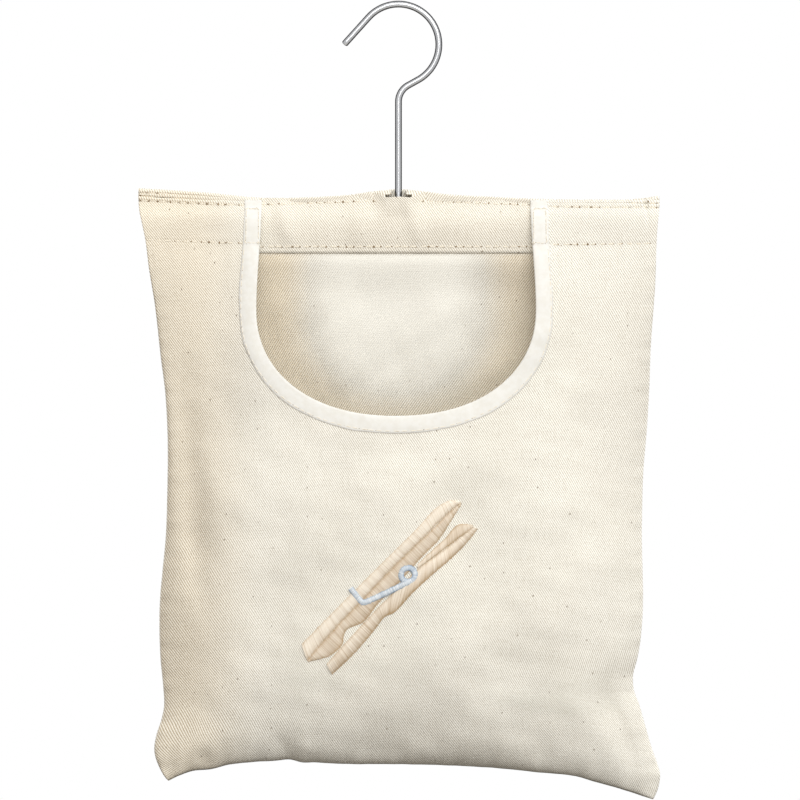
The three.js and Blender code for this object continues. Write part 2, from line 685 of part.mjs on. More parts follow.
function hookGeometry() {
  const bowCentre = -hookInnerRadius;
  const bow = new PlanarArc(0, bowCentre, bowRadius, Math.PI / 2 + hookTipSlope, -hookThroatAngle);
  const bowStart = bow.getPoint(0);
  const bowEnd = bow.getPoint(1);
  const tipWay = new THREE.Vector3(-Math.cos(hookTipSlope), 0, -Math.sin(hookTipSlope));
  const tip = bowStart.clone().addScaledVector(tipWay, hookTipLength);
  const neckWay = new THREE.Vector3(-Math.sin(hookThroatAngle), 0, -Math.cos(hookThroatAngle));
  const neckCorner = bowEnd.clone().addScaledVector(neckWay, bowEnd.x / -neckWay.x);
  const setback = neckBendRadius * Math.tan(hookThroatAngle / 2);
  const bendCentre = neckCorner.z - setback;
  const bendFrom = Math.PI - hookThroatAngle;
  const bend = new PlanarArc(neckBendRadius, bendCentre, neckBendRadius, bendFrom, Math.PI);
  const stemTop = bend.getPoint(1);
  const headTop = barBottom + recessDepth - washerThickness - 2 * runningGap;
  const stemEnd = new THREE.Vector3(0, 0, headTop - hookHeadThickness / 2);
  const path = new THREE.CurvePath();
  path.add(new THREE.LineCurve3(tip, bowStart));
  path.add(bow);
  path.add(new THREE.LineCurve3(bowEnd, bend.getPoint(0)));
  path.add(bend);
  path.add(new THREE.LineCurve3(stemTop, stemEnd));
  const wire = strandGeometry(path, wireDiameter, wireSides, wireSteps);
  const head = uprightCylinder(hookHeadDiameter / 2, headTop - hookHeadThickness, headTop, headSides);
  return toGeometry(toSolid(wire).add(toSolid(head)));
}

// Bar with the hook's hole and the recess for the washer and the peened end
const recessDepth = washerThickness + hookHeadThickness + 4 * runningGap;
const barRoundSides = 10;
const cutOvershoot = 1; // cutters run past the faces that they cut

function barGeometry() {
  const half = barThickness / 2;
  const outline = new THREE.Shape();
  outline.absarc(0, barAxis, half, 0, Math.PI, false);
  outline.absarc(0, barLowAxis, half, Math.PI, 2 * Math.PI, false);
  const options = { depth: barLength, curveSegments: barRoundSides, bevelEnabled: false };
  const rail = new THREE.ExtrudeGeometry(outline, options);
  const axes = [new THREE.Vector3(0, 1, 0), new THREE.Vector3(0, 0, 1), new THREE.Vector3(1, 0, 0)];
  rail.applyMatrix4(new THREE.Matrix4().makeBasis(...axes)).translate(-barLength / 2, 0, 0);
  const below = barBottom - cutOvershoot;
  const bore = uprightCylinder(wireRadius + runningGap, below, barTop + cutOvershoot, headSides);
  const recess = uprightCylinder(washerDiameter / 2 + runningGap, below, barBottom + recessDepth, headSides);
  return toGeometry(toSolid(rail).subtract(toSolid(bore)).subtract(toSolid(recess)));
}

function washerGeometry() {
  const high = barBottom + recessDepth - runningGap;
  const disc = uprightCylinder(washerDiameter / 2, high - washerThickness, high, headSides);
  const low = high - washerThickness;
  const hole = uprightCylinder(wireRadius + runningGap, low - cutOvershoot, high + cutOvershoot, headSides);
  return toGeometry(toSolid(disc).subtract(toSolid(hole)));
}

// Assembly
addPiece("hanger_hook", hookGeometry(), materials.steel);
addPiece("hook_washer", washerGeometry(), materials.steel);
addPiece("hanger_bar", barGeometry(), materials.wood);
addPiece("back_panel", backPanel(), materials.twill);
addPiece("front_panel", frontPanel(), materials.twill);
addPiece("mouth_binding", bindingGeometry(), materials.binding);
const lip = mouthHalf - bindingWrap;
for (const [name, side] of [["left", -1], ["right", 1]]) {
  addPiece(`${name}_side_seam_overlock`, sideSeam(side), materials.thread);
  addPiece(`${name}_shoulder_top_stitching`, frontStitches(side, stitchLevel), materials.thread);
  addPiece(`${name}_shoulder_hem_stitching`, frontStitches(side, hemLevel + hemStitchRise), materials.thread);
  addPiece(`${name}_binding_tack`, tackStitches(side), materials.thread);
  const slotEdge = hookSlotLength / 2 + threadDiameter;
  const backRow = casingStitches(side * slotEdge, side * lip, stitchLevel);
  addPiece(`${name}_back_top_stitching`, backRow, materials.thread);
}
addPiece("bottom_seam_overlock", bottomSeam(), materials.thread);
addPiece("back_hem_stitching", casingStitches(-lip, lip, hemLevel), materials.thread);
addPiece("binding_stitching", bindingStitches(), materials.thread);
addPiece("embroidered_peg_upper_leg", upperLeg(), materials.beige);
addPiece("embroidered_peg_lower_leg", lowerLeg(), materials.beige);
addPiece("embroidered_peg_spring", pegSpring(), materials.blue);

export default bag;
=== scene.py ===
# Peg bag on a wire hook: cotton twill bag, bound mouth, embroidered spring peg
import json
import math

import bpy
import numpy as np
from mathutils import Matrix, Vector

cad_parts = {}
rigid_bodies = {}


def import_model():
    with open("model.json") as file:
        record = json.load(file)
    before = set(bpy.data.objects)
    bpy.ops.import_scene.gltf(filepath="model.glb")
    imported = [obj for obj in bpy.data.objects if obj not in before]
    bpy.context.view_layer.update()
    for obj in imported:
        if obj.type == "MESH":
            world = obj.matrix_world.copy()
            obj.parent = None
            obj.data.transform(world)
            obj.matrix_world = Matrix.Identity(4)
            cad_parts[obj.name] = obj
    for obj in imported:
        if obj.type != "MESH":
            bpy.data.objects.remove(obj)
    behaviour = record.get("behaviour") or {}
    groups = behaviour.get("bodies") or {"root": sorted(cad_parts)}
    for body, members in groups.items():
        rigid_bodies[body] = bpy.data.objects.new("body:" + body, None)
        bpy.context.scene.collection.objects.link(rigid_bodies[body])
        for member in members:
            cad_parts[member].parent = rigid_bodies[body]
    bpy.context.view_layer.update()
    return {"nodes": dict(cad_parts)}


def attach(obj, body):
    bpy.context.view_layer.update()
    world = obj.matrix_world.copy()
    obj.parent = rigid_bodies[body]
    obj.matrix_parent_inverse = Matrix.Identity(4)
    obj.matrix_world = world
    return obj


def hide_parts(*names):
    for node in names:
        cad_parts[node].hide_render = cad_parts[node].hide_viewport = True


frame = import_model()
mm = 0.001
print("frame loaded:", len(frame["nodes"]), "nodes")


# small helpers

def mix(a, b, t):
    return a + (b - a) * t


def smoothStep(t):
    t = np.clip(t, 0.0, 1.0)
    return t * t * (3 - 2 * t)


def rampAt(at, start, run):
    # from 0 at the start to 1 after the run, which is negative the other way
    return smoothStep((at - start) / run)


def bell(distance, width):
    return np.exp(-(distance / width) ** 2)


def sines(place, waves):
    # sum of sine waves, each (height, run of one radian, start)
    return sum(height * np.sin(place / run + start) for height, run, start in waves)


def curveThrough(knots, at):
    # smooth line through (place, value) knots
    table = np.array(sorted(knots), float)
    x, y = table[:, 0], table[:, 1]
    run = np.diff(x)
    rise = np.diff(y) / run
    inner = (rise[:-1] * run[1:] + rise[1:] * run[:-1]) / (run[1:] + run[:-1])
    slope = np.concatenate([rise[:1], inner, rise[-1:]])
    at = np.clip(at, x[0], x[-1])
    i = np.clip(np.searchsorted(x, at) - 1, 0, len(run) - 1)
    t = (at - x[i]) / run[i]
    start = y[i] * (1 + 2 * t) * (1 - t) ** 2 + slope[i] * run[i] * t * (1 - t) ** 2
    end = y[i + 1] * t * t * (3 - 2 * t) + slope[i + 1] * run[i] * t * t * (t - 1)
    return start + end


def gridNormals(grid):
    du = np.gradient(grid, axis=0)
    dv = np.gradient(grid, axis=1)
    normal = np.cross(du, dv)
    return normal / np.maximum(np.linalg.norm(normal, axis=2, keepdims=True), 1e-9)


def newObject(name, mesh, material=None):
    piece = bpy.data.objects.new(name, mesh)
    bpy.context.scene.collection.objects.link(piece)
    if material is not None:
        mesh.materials.append(material)
    return piece


def addPiece(piece, body, slot, *nodes):
    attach(piece, body)
    if nodes:
        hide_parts(*nodes)
    return piece


def joinMeshes(name, parts):
    # parts: mesh datablocks that become one object
    made = [newObject(name if k == 0 else name + "Part", mesh) for k, mesh in enumerate(parts)]
    if len(made) > 1:
        with bpy.context.temp_override(active_object=made[0], selected_editable_objects=made):
            bpy.ops.object.join()
    return made[0]


def sheetMesh(name, grid, thickness, flat, keep=None):
    # closed cloth of the given thickness on a (columns, rows, 3) grid in mm; flat holds its cut coordinates
    columns, rows = grid.shape[:2]
    count = columns * rows
    half = gridNormals(grid) * thickness / 2
    points = np.concatenate([(grid + half).reshape(-1, 3), (grid - half).reshape(-1, 3)])
    i, j = np.meshgrid(np.arange(columns - 1), np.arange(rows - 1), indexing="ij")
    a = (i * rows + j)
    quads = np.stack([a, a + rows, a + rows + 1, a + 1], axis=-1)
    quads = quads[keep] if keep is not None else quads.reshape(-1, 4)
    starts = quads.ravel()
    ends = np.roll(quads, -1, axis=1).ravel()
    code, reverse = starts * count + ends, ends * count + starts
    edge = ~np.isin(code, reverse)
    walls = np.stack([ends[edge], starts[edge], starts[edge] + count, ends[edge] + count], axis=-1)
    faces = np.concatenate([quads, quads[:, ::-1] + count, walls])
    used, faces = np.unique(faces, return_inverse=True)
    faces = faces.reshape(-1, 4)
    mesh = bpy.data.meshes.new(name)
    mesh.from_pydata((points[used] * mm).tolist(), [], faces.tolist())
    smooth = np.ones(len(faces), bool)
    smooth[2 * len(quads):] = False
    mesh.polygons.foreach_set("use_smooth", smooth)
    place = np.concatenate([flat.reshape(-1, 2)] * 2)[used] * mm
    layer = mesh.uv_layers.new(name="cut")
    layer.data.foreach_set("uv", place[faces.ravel()].astype(np.float32).ravel())
    return mesh


def setAttribute(mesh, name, values):
    # one number or one direction at each point
    values = np.asarray(values, np.float32)
    kind, field = ("FLOAT_VECTOR", "vector") if values.ndim > 1 else ("FLOAT", "value")
    mesh.attributes.new(name, kind, "POINT").data.foreach_set(field, values.ravel())


def distanceAlong(path):
    return np.concatenate([[0], np.cumsum(np.linalg.norm(np.diff(path, axis=0), axis=1))])


# materials

def srgb(*levels):
    # screen levels from 0 to 255, as a linear colour
    def linear(c):
        return ((c / 255 + 0.055) / 1.055) ** 2.4 if c > 10 else c / 255 / 12.92
    return tuple(linear(c) for c in levels) + (1.0,)


class Shader:
    # short way to add and link shader nodes
    def __init__(self, name, **sockets):
        self.material = bpy.data.materials.new(name)
        self.material.use_nodes = True
        self.nodes = self.material.node_tree.nodes
        self.link = self.material.node_tree.links.new
        self.base = self.nodes["Principled BSDF"]
        for socket, value in sockets.items():
            self.base.inputs[socket.replace("_", " ")].default_value = value

    def add(self, kind, values=None, **settings):
        node = self.nodes.new("ShaderNode" + kind)
        for key, value in settings.items():
            setattr(node, key, value)
        for key, value in (values or {}).items():
            self.put(node.inputs[key], value)
        return node

    def put(self, socket, value):
        if isinstance(value, bpy.types.NodeSocket):
            self.link(value, socket)
        else:
            socket.default_value = value

    def math(self, operation, a, b=0.0):
        return self.add("Math", {0: a, 1: b}, operation=operation).outputs[0]

    def times(self, a, b):
        return self.math("MULTIPLY", a, b)

    def plus(self, a, b):
        return self.math("ADD", a, b)

    def blend(self, factor, a, b, kind="MIX"):
        node = self.add("Mix", data_type="RGBA", blend_type=kind)
        self.put(node.inputs["Factor"], factor)
        self.put(node.inputs[6], a)
        self.put(node.inputs[7], b)
        return node.outputs[2]

    def ramp(self, value, low, high):
        node = self.add("MapRange", {"Value": value, "From Min": low, "From Max": high},
                        interpolation_type="SMOOTHSTEP")
        return node.outputs["Result"]

    def noise(self, vector, scale, detail=2.0):
        node = self.add("TexNoise", {"Vector": vector, "Scale": scale, "Detail": detail})
        return node.outputs[0]

    def stretched(self, vector, scale):
        node = self.add("Mapping", {"Vector": vector, "Scale": scale})
        return node.outputs["Vector"]

    def bump(self, height, strength, distance):
        node = self.add("Bump", {"Height": height, "Strength": strength, "Distance": distance})
        self.link(node.outputs["Normal"], self.base.inputs["Normal"])

    def colour(self, value):
        self.put(self.base.inputs["Base Color"], value)


twillLook = {
    "colour": srgb(254, 253, 246), "shade": srgb(160, 147, 124), "fleck": srgb(104, 84, 64),
    # tan colour multiplied in as painted shade
    "raw": srgb(250, 237, 216),
    "pitch": 1.23 * mm, "rise": (0.82, 0.57), "yarn": 0.62 * mm,
    "strayScale": 160, "stray": 1.6, "slubScale": (1400, 70), "grainScale": 1500, "cloudScale": 14,
    # shares of the weave's relief
    "ribLift": 0.5, "yarnLift": 0.2, "slubLift": 0.9, "bump": 0.72, "relief": 0.0002,
    # (from, to, share) of the darker shade in the furrows, in thin yarns and in clouds
    "yarnShade": 0.25, "grainShade": 2.4,
    "furrow": (1.9, -0.4, 0.76), "thin": (1.05, 0.7, 0.13), "cloud": (0.62, 0.38, 0.06),
    # seed flecks: cell, size in it, share of the cells and strength
    "flecks": ((13 * mm, 0.05, 0.34, 0.85), (13 * mm * 0.45, 0.06, 0.16, 0.5)),
    "fleckStretch": (1.25, 0.8, 1), "fleckCore": 0.35, "fleckTones": (-0.3, 1.0),
    # how much of the painted shade colour in the furrows, and everywhere
    "paintedShadeDeep": 1.1, "paintedShadeFlat": 0.5,
}


def twillMaterial():
    look = twillLook
    s = Shader("cottonTwill", Roughness=0.92, Specular_IOR_Level=0.15, Sheen_Weight=0.12, Sheen_Roughness=0.5)
    cut = s.add("UVMap", uv_map="cut").outputs["UV"]
    part = s.add("SeparateXYZ", {0: cut})
    x, y = part.outputs["X"], part.outputs["Y"]
    turn = 2 * math.pi
    across, up = (share * turn / look["pitch"] for share in look["rise"])
    stray = s.times(s.noise(cut, look["strayScale"], 1), look["stray"])
    rib = s.math("SINE", s.plus(s.plus(s.times(x, across), s.times(y, up)), stray))
    yarn = s.math("SINE", s.times(y, turn / look["yarn"]))
    fine, long = look["slubScale"]
    slubs = [s.noise(s.stretched(cut, scale), 1.0) for scale in ((fine, long, 1), (long, fine, 1))]
    grain = s.noise(cut, look["grainScale"])
    height = s.plus(s.times(rib, look["ribLift"]), s.times(yarn, look["yarnLift"]))
    for slub in slubs:
        height = s.plus(height, s.times(slub, look["slubLift"]))
    s.bump(height, look["bump"], look["relief"])
    low, high, share = look["furrow"]
    furrow = s.plus(rib, s.times(yarn, look["yarnShade"]))
    deep = s.ramp(s.plus(furrow, s.times(grain, look["grainShade"])), low, high)
    colour = s.blend(s.times(deep, share), look["colour"], look["shade"])
    for value, kind in ((s.plus(*slubs), "thin"), (s.noise(cut, look["cloudScale"], 3), "cloud")):
        low, high, share = look[kind]
        colour = s.blend(s.times(s.ramp(value, low, high), share), colour, look["shade"])
    for cell, size, share, strength in look["flecks"]:
        spot = s.add("TexVoronoi", {"Vector": s.stretched(cut, look["fleckStretch"]), "Scale": 1 / cell},
                     voronoi_dimensions="2D")
        chance = s.add("SeparateColor", {0: spot.outputs["Color"]})
        there = s.math("LESS_THAN", chance.outputs[0], share)
        dot = s.ramp(spot.outputs["Distance"], size, size * look["fleckCore"])
        dark = s.times(s.ramp(chance.outputs[1], *look["fleckTones"]), strength)
        colour = s.blend(s.times(s.times(there, dot), dark), colour, look["fleck"])
    # painted shade and light: above 0 multiplies in the tan colour, more in the furrows; below 0 paints light
    # by blending towards the clean colour
    raw = s.add("Attribute", attribute_name="raw").outputs["Fac"]
    colour = s.blend(s.times(raw, -1.0), colour, look["colour"])
    paintedShadeShare = s.times(raw, s.plus(s.times(deep, look["paintedShadeDeep"]), look["paintedShadeFlat"]))
    s.colour(s.blend(paintedShadeShare, colour, look["raw"], "MULTIPLY"))
    return s.material


bindingLook = {
    "colour": srgb(234, 234, 231), "shade": srgb(222, 219, 210), "yarn": 0.62 * mm, "bias": 0.7071,
    "cloudScale": 260, "weaveLift": 0.4, "cloudLift": 0.8, "bump": 0.35, "relief": 0.00012,
    # (from, to, share) of the shade
    "cloud": (0.65, 0.35, 0.35), "weave": (0.6, -1.0, 0.2),
}


def bindingMaterial():
    look = bindingLook
    s = Shader("biasBinding", Roughness=0.85, Specular_IOR_Level=0.2, Sheen_Weight=0.1)
    cut = s.add("UVMap", uv_map="cut").outputs["UV"]
    part = s.add("SeparateXYZ", {0: cut})
    turn = 2 * math.pi / look["yarn"] * look["bias"]
    ways = [s.math(way, part.outputs["X"], part.outputs["Y"]) for way in ("ADD", "SUBTRACT")]
    weave = s.times(*(s.math("SINE", s.times(way, turn)) for way in ways))
    cloud = s.noise(cut, look["cloudScale"], 3)
    height = s.plus(s.times(weave, look["weaveLift"]), s.times(cloud, look["cloudLift"]))
    s.bump(height, look["bump"], look["relief"])
    tones = [s.times(s.ramp(value, low, high), share)
             for value, (low, high, share) in ((cloud, look["cloud"]), (weave, look["weave"]))]
    s.colour(s.blend(s.plus(*tones), look["colour"], look["shade"]))
    return s.material


threadLook = {"fibreScale": 2600, "fibreShade": 0.35, "bump": 0.3, "relief": 0.00008}


def threadMaterial(name, light, dark, roughness):
    look = threadLook
    s = Shader(name, Roughness=roughness, Specular_IOR_Level=0.35, Sheen_Weight=0.2)
    shade = s.add("Attribute", attribute_name="shade").outputs["Fac"]
    fibre = s.noise(s.add("TexCoord").outputs["Object"], look["fibreScale"])
    s.bump(fibre, look["bump"], look["relief"])
    uneven = s.times(s.math("SUBTRACT", fibre, 0.5), look["fibreShade"])
    s.colour(s.blend(s.plus(shade, uneven), light, dark))
    return s.material


# painted shade: browns for the dots that stand for the shadow in the needle holes
holeShadowLook = {"dark": srgb(120, 102, 82), "pale": srgb(168, 150, 126), "scale": 900}


def holeShadowMaterial():
    s = Shader("needleHoleShadow", Roughness=1.0, Specular_IOR_Level=0.0)
    uneven = s.noise(s.add("TexCoord").outputs["Object"], holeShadowLook["scale"], 1)
    s.colour(s.blend(uneven, holeShadowLook["dark"], holeShadowLook["pale"]))
    return s.material


steelLook = {
    "dark": srgb(176, 177, 179), "pale": srgb(186, 187, 189), "drawnScale": (30, 4, 1), "drawn": (0.3, 0.7),
    # painted dark reflection along the inside and outside of the bends
    "paintedEdgeShade": srgb(44, 45, 47), "paintedEdgeFrom": 0.5, "paintedEdgeTo": 0.86, "paintedEdgeShare": 0.95,
    "rough": (0.24, 0.26),
}


def steelMaterial():
    look = steelLook
    s = Shader("drawnSteel", Metallic=1.0, Roughness=0.2, Specular_Tint=(0.05, 0.05, 0.06, 1.0))
    place = s.add("UVMap", uv_map="wire").outputs["UV"]
    drawn = s.noise(s.stretched(place, look["drawnScale"]), 1.0)
    around = s.add("SeparateXYZ", {0: place}).outputs["Y"]
    side = s.math("ABSOLUTE", s.math("COSINE", s.times(around, 2 * math.pi)))
    # painted shade and dark reflection along both sides of the wire in the plane of its bends
    paintedEdge = s.times(s.ramp(side, look["paintedEdgeFrom"], look["paintedEdgeTo"]), look["paintedEdgeShare"])
    colour = s.blend(s.ramp(drawn, *look["drawn"]), look["dark"], look["pale"])
    s.colour(s.blend(paintedEdge, colour, look["paintedEdgeShade"]))
    low, high = look["rough"]
    rough = s.add("MapRange", {"Value": drawn, "To Min": low, "To Max": high})
    s.link(rough.outputs["Result"], s.base.inputs["Roughness"])
    return s.material


woodLook = {
    "pale": srgb(214, 182, 136), "dark": srgb(188, 148, 98), "fleck": srgb(150, 108, 66),
    "grainScale": (14, 420, 420), "fleckScale": (160, 2400, 2400), "grain": (0.35, 0.65),
    "flecks": (0.6, 0.75), "fleckShare": 0.5, "fleckLift": 0.4, "bump": 0.2, "relief": 0.0003,
}


def woodMaterial():
    look = woodLook
    s = Shader("turnedBeech", Roughness=0.6, Specular_IOR_Level=0.3)
    place = s.add("TexCoord").outputs["Object"]
    grain = s.noise(s.stretched(place, look["grainScale"]), 1.0, 4)
    fleck = s.noise(s.stretched(place, look["fleckScale"]), 1.0)
    s.bump(s.plus(grain, s.times(fleck, look["fleckLift"])), look["bump"], look["relief"])
    colour = s.blend(s.ramp(grain, *look["grain"]), look["pale"], look["dark"])
    s.colour(s.blend(s.times(s.ramp(fleck, *look["flecks"]), look["fleckShare"]), colour, look["fleck"]))
    return s.material


twill = twillMaterial()
binding = bindingMaterial()
sewingThread = threadMaterial("sewingThread", srgb(244, 238, 224), srgb(222, 211, 190), 0.75)
satinBeige = threadMaterial("satinBeige", srgb(246, 238, 225), srgb(188, 162, 127), 0.45)
satinBlue = threadMaterial("satinBlue", srgb(236, 241, 245), srgb(128, 155, 182), 0.4)
needleHoleShadow = holeShadowMaterial()
steel = steelMaterial()
wood = woodMaterial()
print("materials made")


# the hung bag's form, mm, front towards -Y

bagForm = {
    # (level, distance from the middle) down each side
    "left": [(-100, 151.8), (-118, 151.2), (-127, 149.2), (-136, 147.4), (-153, 145.1), (-171, 142.1),
             (-206, 138.1), (-223, 135.9), (-243, 134.6), (-284, 134.6), (-311, 135.7), (-328, 137.4),
             (-346, 139.0), (-364, 139.3), (-381, 138.6), (-398, 136.9), (-408, 136.5), (-416, 138.1),
             (-425, 141.0), (-434, 142.1), (-442, 139.8), (-450, 135.2), (-454, 132.0)],
    "right": [(-100, 151.4), (-114, 152.3), (-127, 151.0), (-162, 149.3), (-197, 146.9), (-223, 146.1),
              (-250, 144.5), (-267, 143.0), (-302, 141.8), (-362, 141.6), (-373, 140.4), (-381, 138.8),
              (-390, 136.6), (-398, 137.0), (-407, 140.2), (-416, 142.8), (-434, 148.1), (-442, 151.0),
              (-448, 152.5), (-455, 151.6), (-465, 147.5)],
    # (place across from -1 to 1, level) along the bottom seam
    "bottom": [(-1.0, -451.2), (-0.93, -447.6), (-0.86, -445.0), (-0.8, -444.4), (-0.7, -441.4),
               (-0.6, -440.0), (-0.5, -439.2), (-0.45, -438.6), (-0.4, -440.3), (-0.35, -440.4),
               (-0.25, -441.2), (0.0, -441.6), (0.2, -442.4), (0.4, -444.2), (0.54, -446.4),
               (0.68, -448.6), (0.76, -452.0), (0.85, -455.6), (0.94, -459.6), (1.0, -462.3)],
    # (place, level) along the top edge
    "top": [(-153, -105.7), (-112, -108.4), (-79, -111.4), (-55, -111.2), (-25, -109.2), (-9, -106.6),
            (0, -105.6), (9, -106.6), (25, -109.0), (55, -110.8), (85, -112.2), (113, -112.5),
            (140, -112.0), (153, -110.2)],
    "topStitch": [(-153, -112.8), (-80, -116.0), (0, -114.0), (80, -116.6), (153, -117.2)],
    "hemStitch": [(-153, -136.0), (-80, -138.2), (80, -138.8), (153, -138.0)],
    "hem": -140.0, "tuck": -143.5, "cloth": 0.8, "layer": 0.9,
    # the swell: its depths, its fullest level above the bottom, and its powers below and above that
    "frontDepth": 34.0, "backDepth": 32.0, "fullest": 0.28, "foot": 2.2, "fade": 1.3,
    # how full each panel is towards its left and right seam: power of the place across, and of the whole
    "frontSides": ((2.4, 0.62), (3.0, 0.75)), "backSides": ((2.4, 0.5), (2.4, 0.5)),
    "join": 0.6, "loose": 2.2,
    # the back below the casing: a straight run, then a dip behind the mouth
    "straight": 7.0, "straightLow": (-168.0, 22.0),
    "dip": 6.0, "dipTop": -145.0, "dipRun": 88.0, "dipLow": (-340.0, 100.0), "dipEnds": (104.0, -44.0),
    # half depth of the casing round the bar
    "casing": [(-146, 4.2), (-143.5, 4.3), (-140, 4.5), (-136, 5.0), (-132, 5.25), (-128.5, 5.3),
               (-124.5, 4.95), (-121.4, 4.1), (-117.5, 1.7), (-115, 0.5), (-100, 0.45)],
    "casingBack": [(-146, -3.35), (-140, -3.35), (-137.5, 0.2), (-133.5, 4.2), (-128.5, 5.3),
                   (-124.5, 4.95), (-121.4, 4.1), (-117.5, 1.7), (-115, 0.5), (-100, 0.45)],
    "barFront": -128.5, "close": 0.945, "closeBehind": 2.0, "closeStack": (0.9, 3.0), "closeRun": 2.5,
    # how far ahead of the casing the front hangs, and how much less for each layer: beside the bar, above it
    "ahead": ((3.4, 1.1), (2.45, 0.95)), "aheadFrom": (-122.0, 6.0),
    "wireHole": 4.3, "slitHalf": 7.0, "slitRun": 17.0, "slitFull": 5.0, "slitClear": 20.0,
    "slitDepth": 4.75, "slitDrop": 4.6, "slitGap": 1.5, "slitFrom": (-124.0, 4.0),
    # (length, height) of the cloth's gentle unevenness
    "waves": ((95, 0.55), (70, 0.4), (48, 0.25), (33, 0.15), (21, 0.08), (14, 0.05)), "wavesEach": 3,
    "seed": 11, "backSeed": 16,
}

# soft folds: x0, z0, x1, z1, half width, height
frontFolds = [
    (-134, -165, -112, -372, 10.0, -5.0),
    (-104, -300, -96, -430, 16.0, 1.6),
    (-75, -320, -68, -410, 15.0, -1.6),
    (-40, -310, -38, -420, 14.0, 1.2),
    (-34, -262, 30, -256, 14.0, -1.5),
    (-10, -372, 30, -436, 15.0, -1.8),
    (98, -180, 104, -330, 12.0, -1.0),
    (86, -380, 151, -466, 9.0, 1.2),
    (115, -384, 142, -452, 6.5, -4.2),
    (132, -400, 150, -462, 5.0, 3.6),
    (60, -400, 96, -450, 12.0, -2.4),
    (-108, -420, -136, -462, 8.0, 2.6),
    (-118, -430, -104, -452, 4.5, -3.2),
    (-72, -420, -58, -448, 4.0, -1.8),
    (-56, -424, -46, -446, 4.0, 1.0),
    (10, -424, 24, -448, 6.0, 0.9),
]
shoulderFolds = [
    (145.0, -104, 143.2, -130, 1.7, 0.6),
    (110, -118, 114, -138, 8.0, -0.5),
    (-118, -116, -112, -140, 9.0, -0.6),
]
backFolds = [
    (-34, -146, -34, -236, 18.0, -3.0),
    (24, -146, 24, -236, 18.0, -3.0),
    (-112, -200, -98, -400, 12.0, -3.4),
    (118, -190, 104, -390, 12.0, -3.0),
    (90, -380, 152, -468, 10.0, 3.8),
    (-90, -390, -136, -456, 9.0, 3.2),
    (-30, -300, 12, -430, 18.0, 1.8),
    (40, -330, 62, -436, 14.0, -1.6),
]
casingFolds = [
    (3, -104, 15, -146, 4.5, 1.4),
    (-24, -104, -22, -146, 6.5, 1.2),
    (-72, -104, -61, -146, 5.0, 2.0),
]
foldEase = 0.4  # share of a fold's length over which it rises, and dies out again

seamForm = {
    # (height, run, start) of the left and the right side's sway
    "sway": ((2.2, 31, 0.4), (2.4, 36, 2.0)), "swayReach": 26.0, "swayDrop": 60.0,
    # (share, length, start) of the puckers down the sides and along the bottom
    "pucker": ((1.0, 13.5, 0.0), (0.7, 8.7, 1.1)), "puckerLift": 0.3, "puckerReach": 6.0, "puckerDrop": 20.0,
    "foot": ((1.0, 17, 0.6), (0.8, 10.4, 0.0)), "footLift": 0.55, "footReach": 7.0,
    "drift": ((2.6, 44, 0.8),), "driftReach": 22.0,
    # bowed pleat at the right shoulder
    "pleat": 2.6, "pleatAt": 142.6, "pleatWidth": 0.95, "pleatLow": (-130.0, 16.0),
    "bow": 2.4, "bowLevel": -124.0, "bowRun": 14.0, "bowMost": 1.2,
}
mouthForm = {
    "centre": -1.4, "half": 81.2, "topHalf": 78.4, "bend": -176.0, "bendRun": 62.0, "low": -238.5,
    "round": 2.2, "deepMost": 1.5, "rawEdge": 1.8, "pathTop": -112.6, "pathSteps": 4000, "straight": 0.22,
    # the bound edge stands forward of the casing down both sides
    "flare": 4.5, "flareReach": 17.0, "flareTop": (-113.0, -34.0), "flareLow": (-236.0, 50.0),
}
shoulderForm = {
    # rolled cloth above the top stitching: height, distance above it, half width, share of the wave
    "rolls": ((-0.7, 2.6, 0.5, 0.4), (-0.6, 4.7, 0.5, -0.4), (0.5, 1.5, 0.9, 0.0), (0.25, 3.6, 0.8, 0.0)),
    "wave": ((0.5, 9, 0.0), (0.4, 4.1, 1.0)),
    "rollShare": (0.3, 1.1), "rollEnds": ((-88, -50), (122, 22)),  # they grow towards the seams
    # dips along both stitch rows: least, more at each stitch, half width
    "beat": 5.6, "topDip": (0.4, 0.45, 0.9), "hemDip": (0.15, 0.3, 1.0),
    "pucker": ((0.16, 11, 1.0),), "puckerBelow": 5.0, "puckerWidth": 6.0,
}
casingForm = {
    "beat": 5.2, "hemDip": (0.05, 0.12, 1.1),
    # ridges above the top stitching, and loose cloth on the bar
    "ridge": ((0.3, 7.0, 0.0),), "ridgeAbove": 4.0, "ridgeWidth": 2.5,
    "loose": ((0.35, 17, 0.5), (0.35, 29, 0.0)), "looseLevel": -128.0, "looseWidth": 7.0,
}


def topLevel(x):
    return curveThrough(bagForm["top"], x)


def halfWidth(side, z):
    return np.where(side < 0, curveThrough(bagForm["left"], z), curveThrough(bagForm["right"], z))


def bottomLevel(u):
    return curveThrough(bagForm["bottom"], u)


def slitShare(x):
    return rampAt(np.abs(x), bagForm["slitRun"], bagForm["slitFull"] - bagForm["slitRun"])


def acrossBag(x, z):
    return np.clip(x / halfWidth(x, z), -1, 1)


def closeShare(u):
    # beyond the bar's ends all layers come forward to the front's, at the side seams
    return rampAt(np.abs(u), bagForm["close"], 1 - bagForm["close"])


def joinShare(rise):
    # the body's edges go over to the layers at the bar
    return rampAt(rise, bagForm["join"], 1 - bagForm["join"])


def casingProfile(x, z, layer):
    form = bagForm
    half = curveThrough(form[layer], z)
    spread = slitShare(x) * rampAt(z, *form["slitFrom"])
    return mix(half, np.maximum(half, form["slitDepth"]), spread)


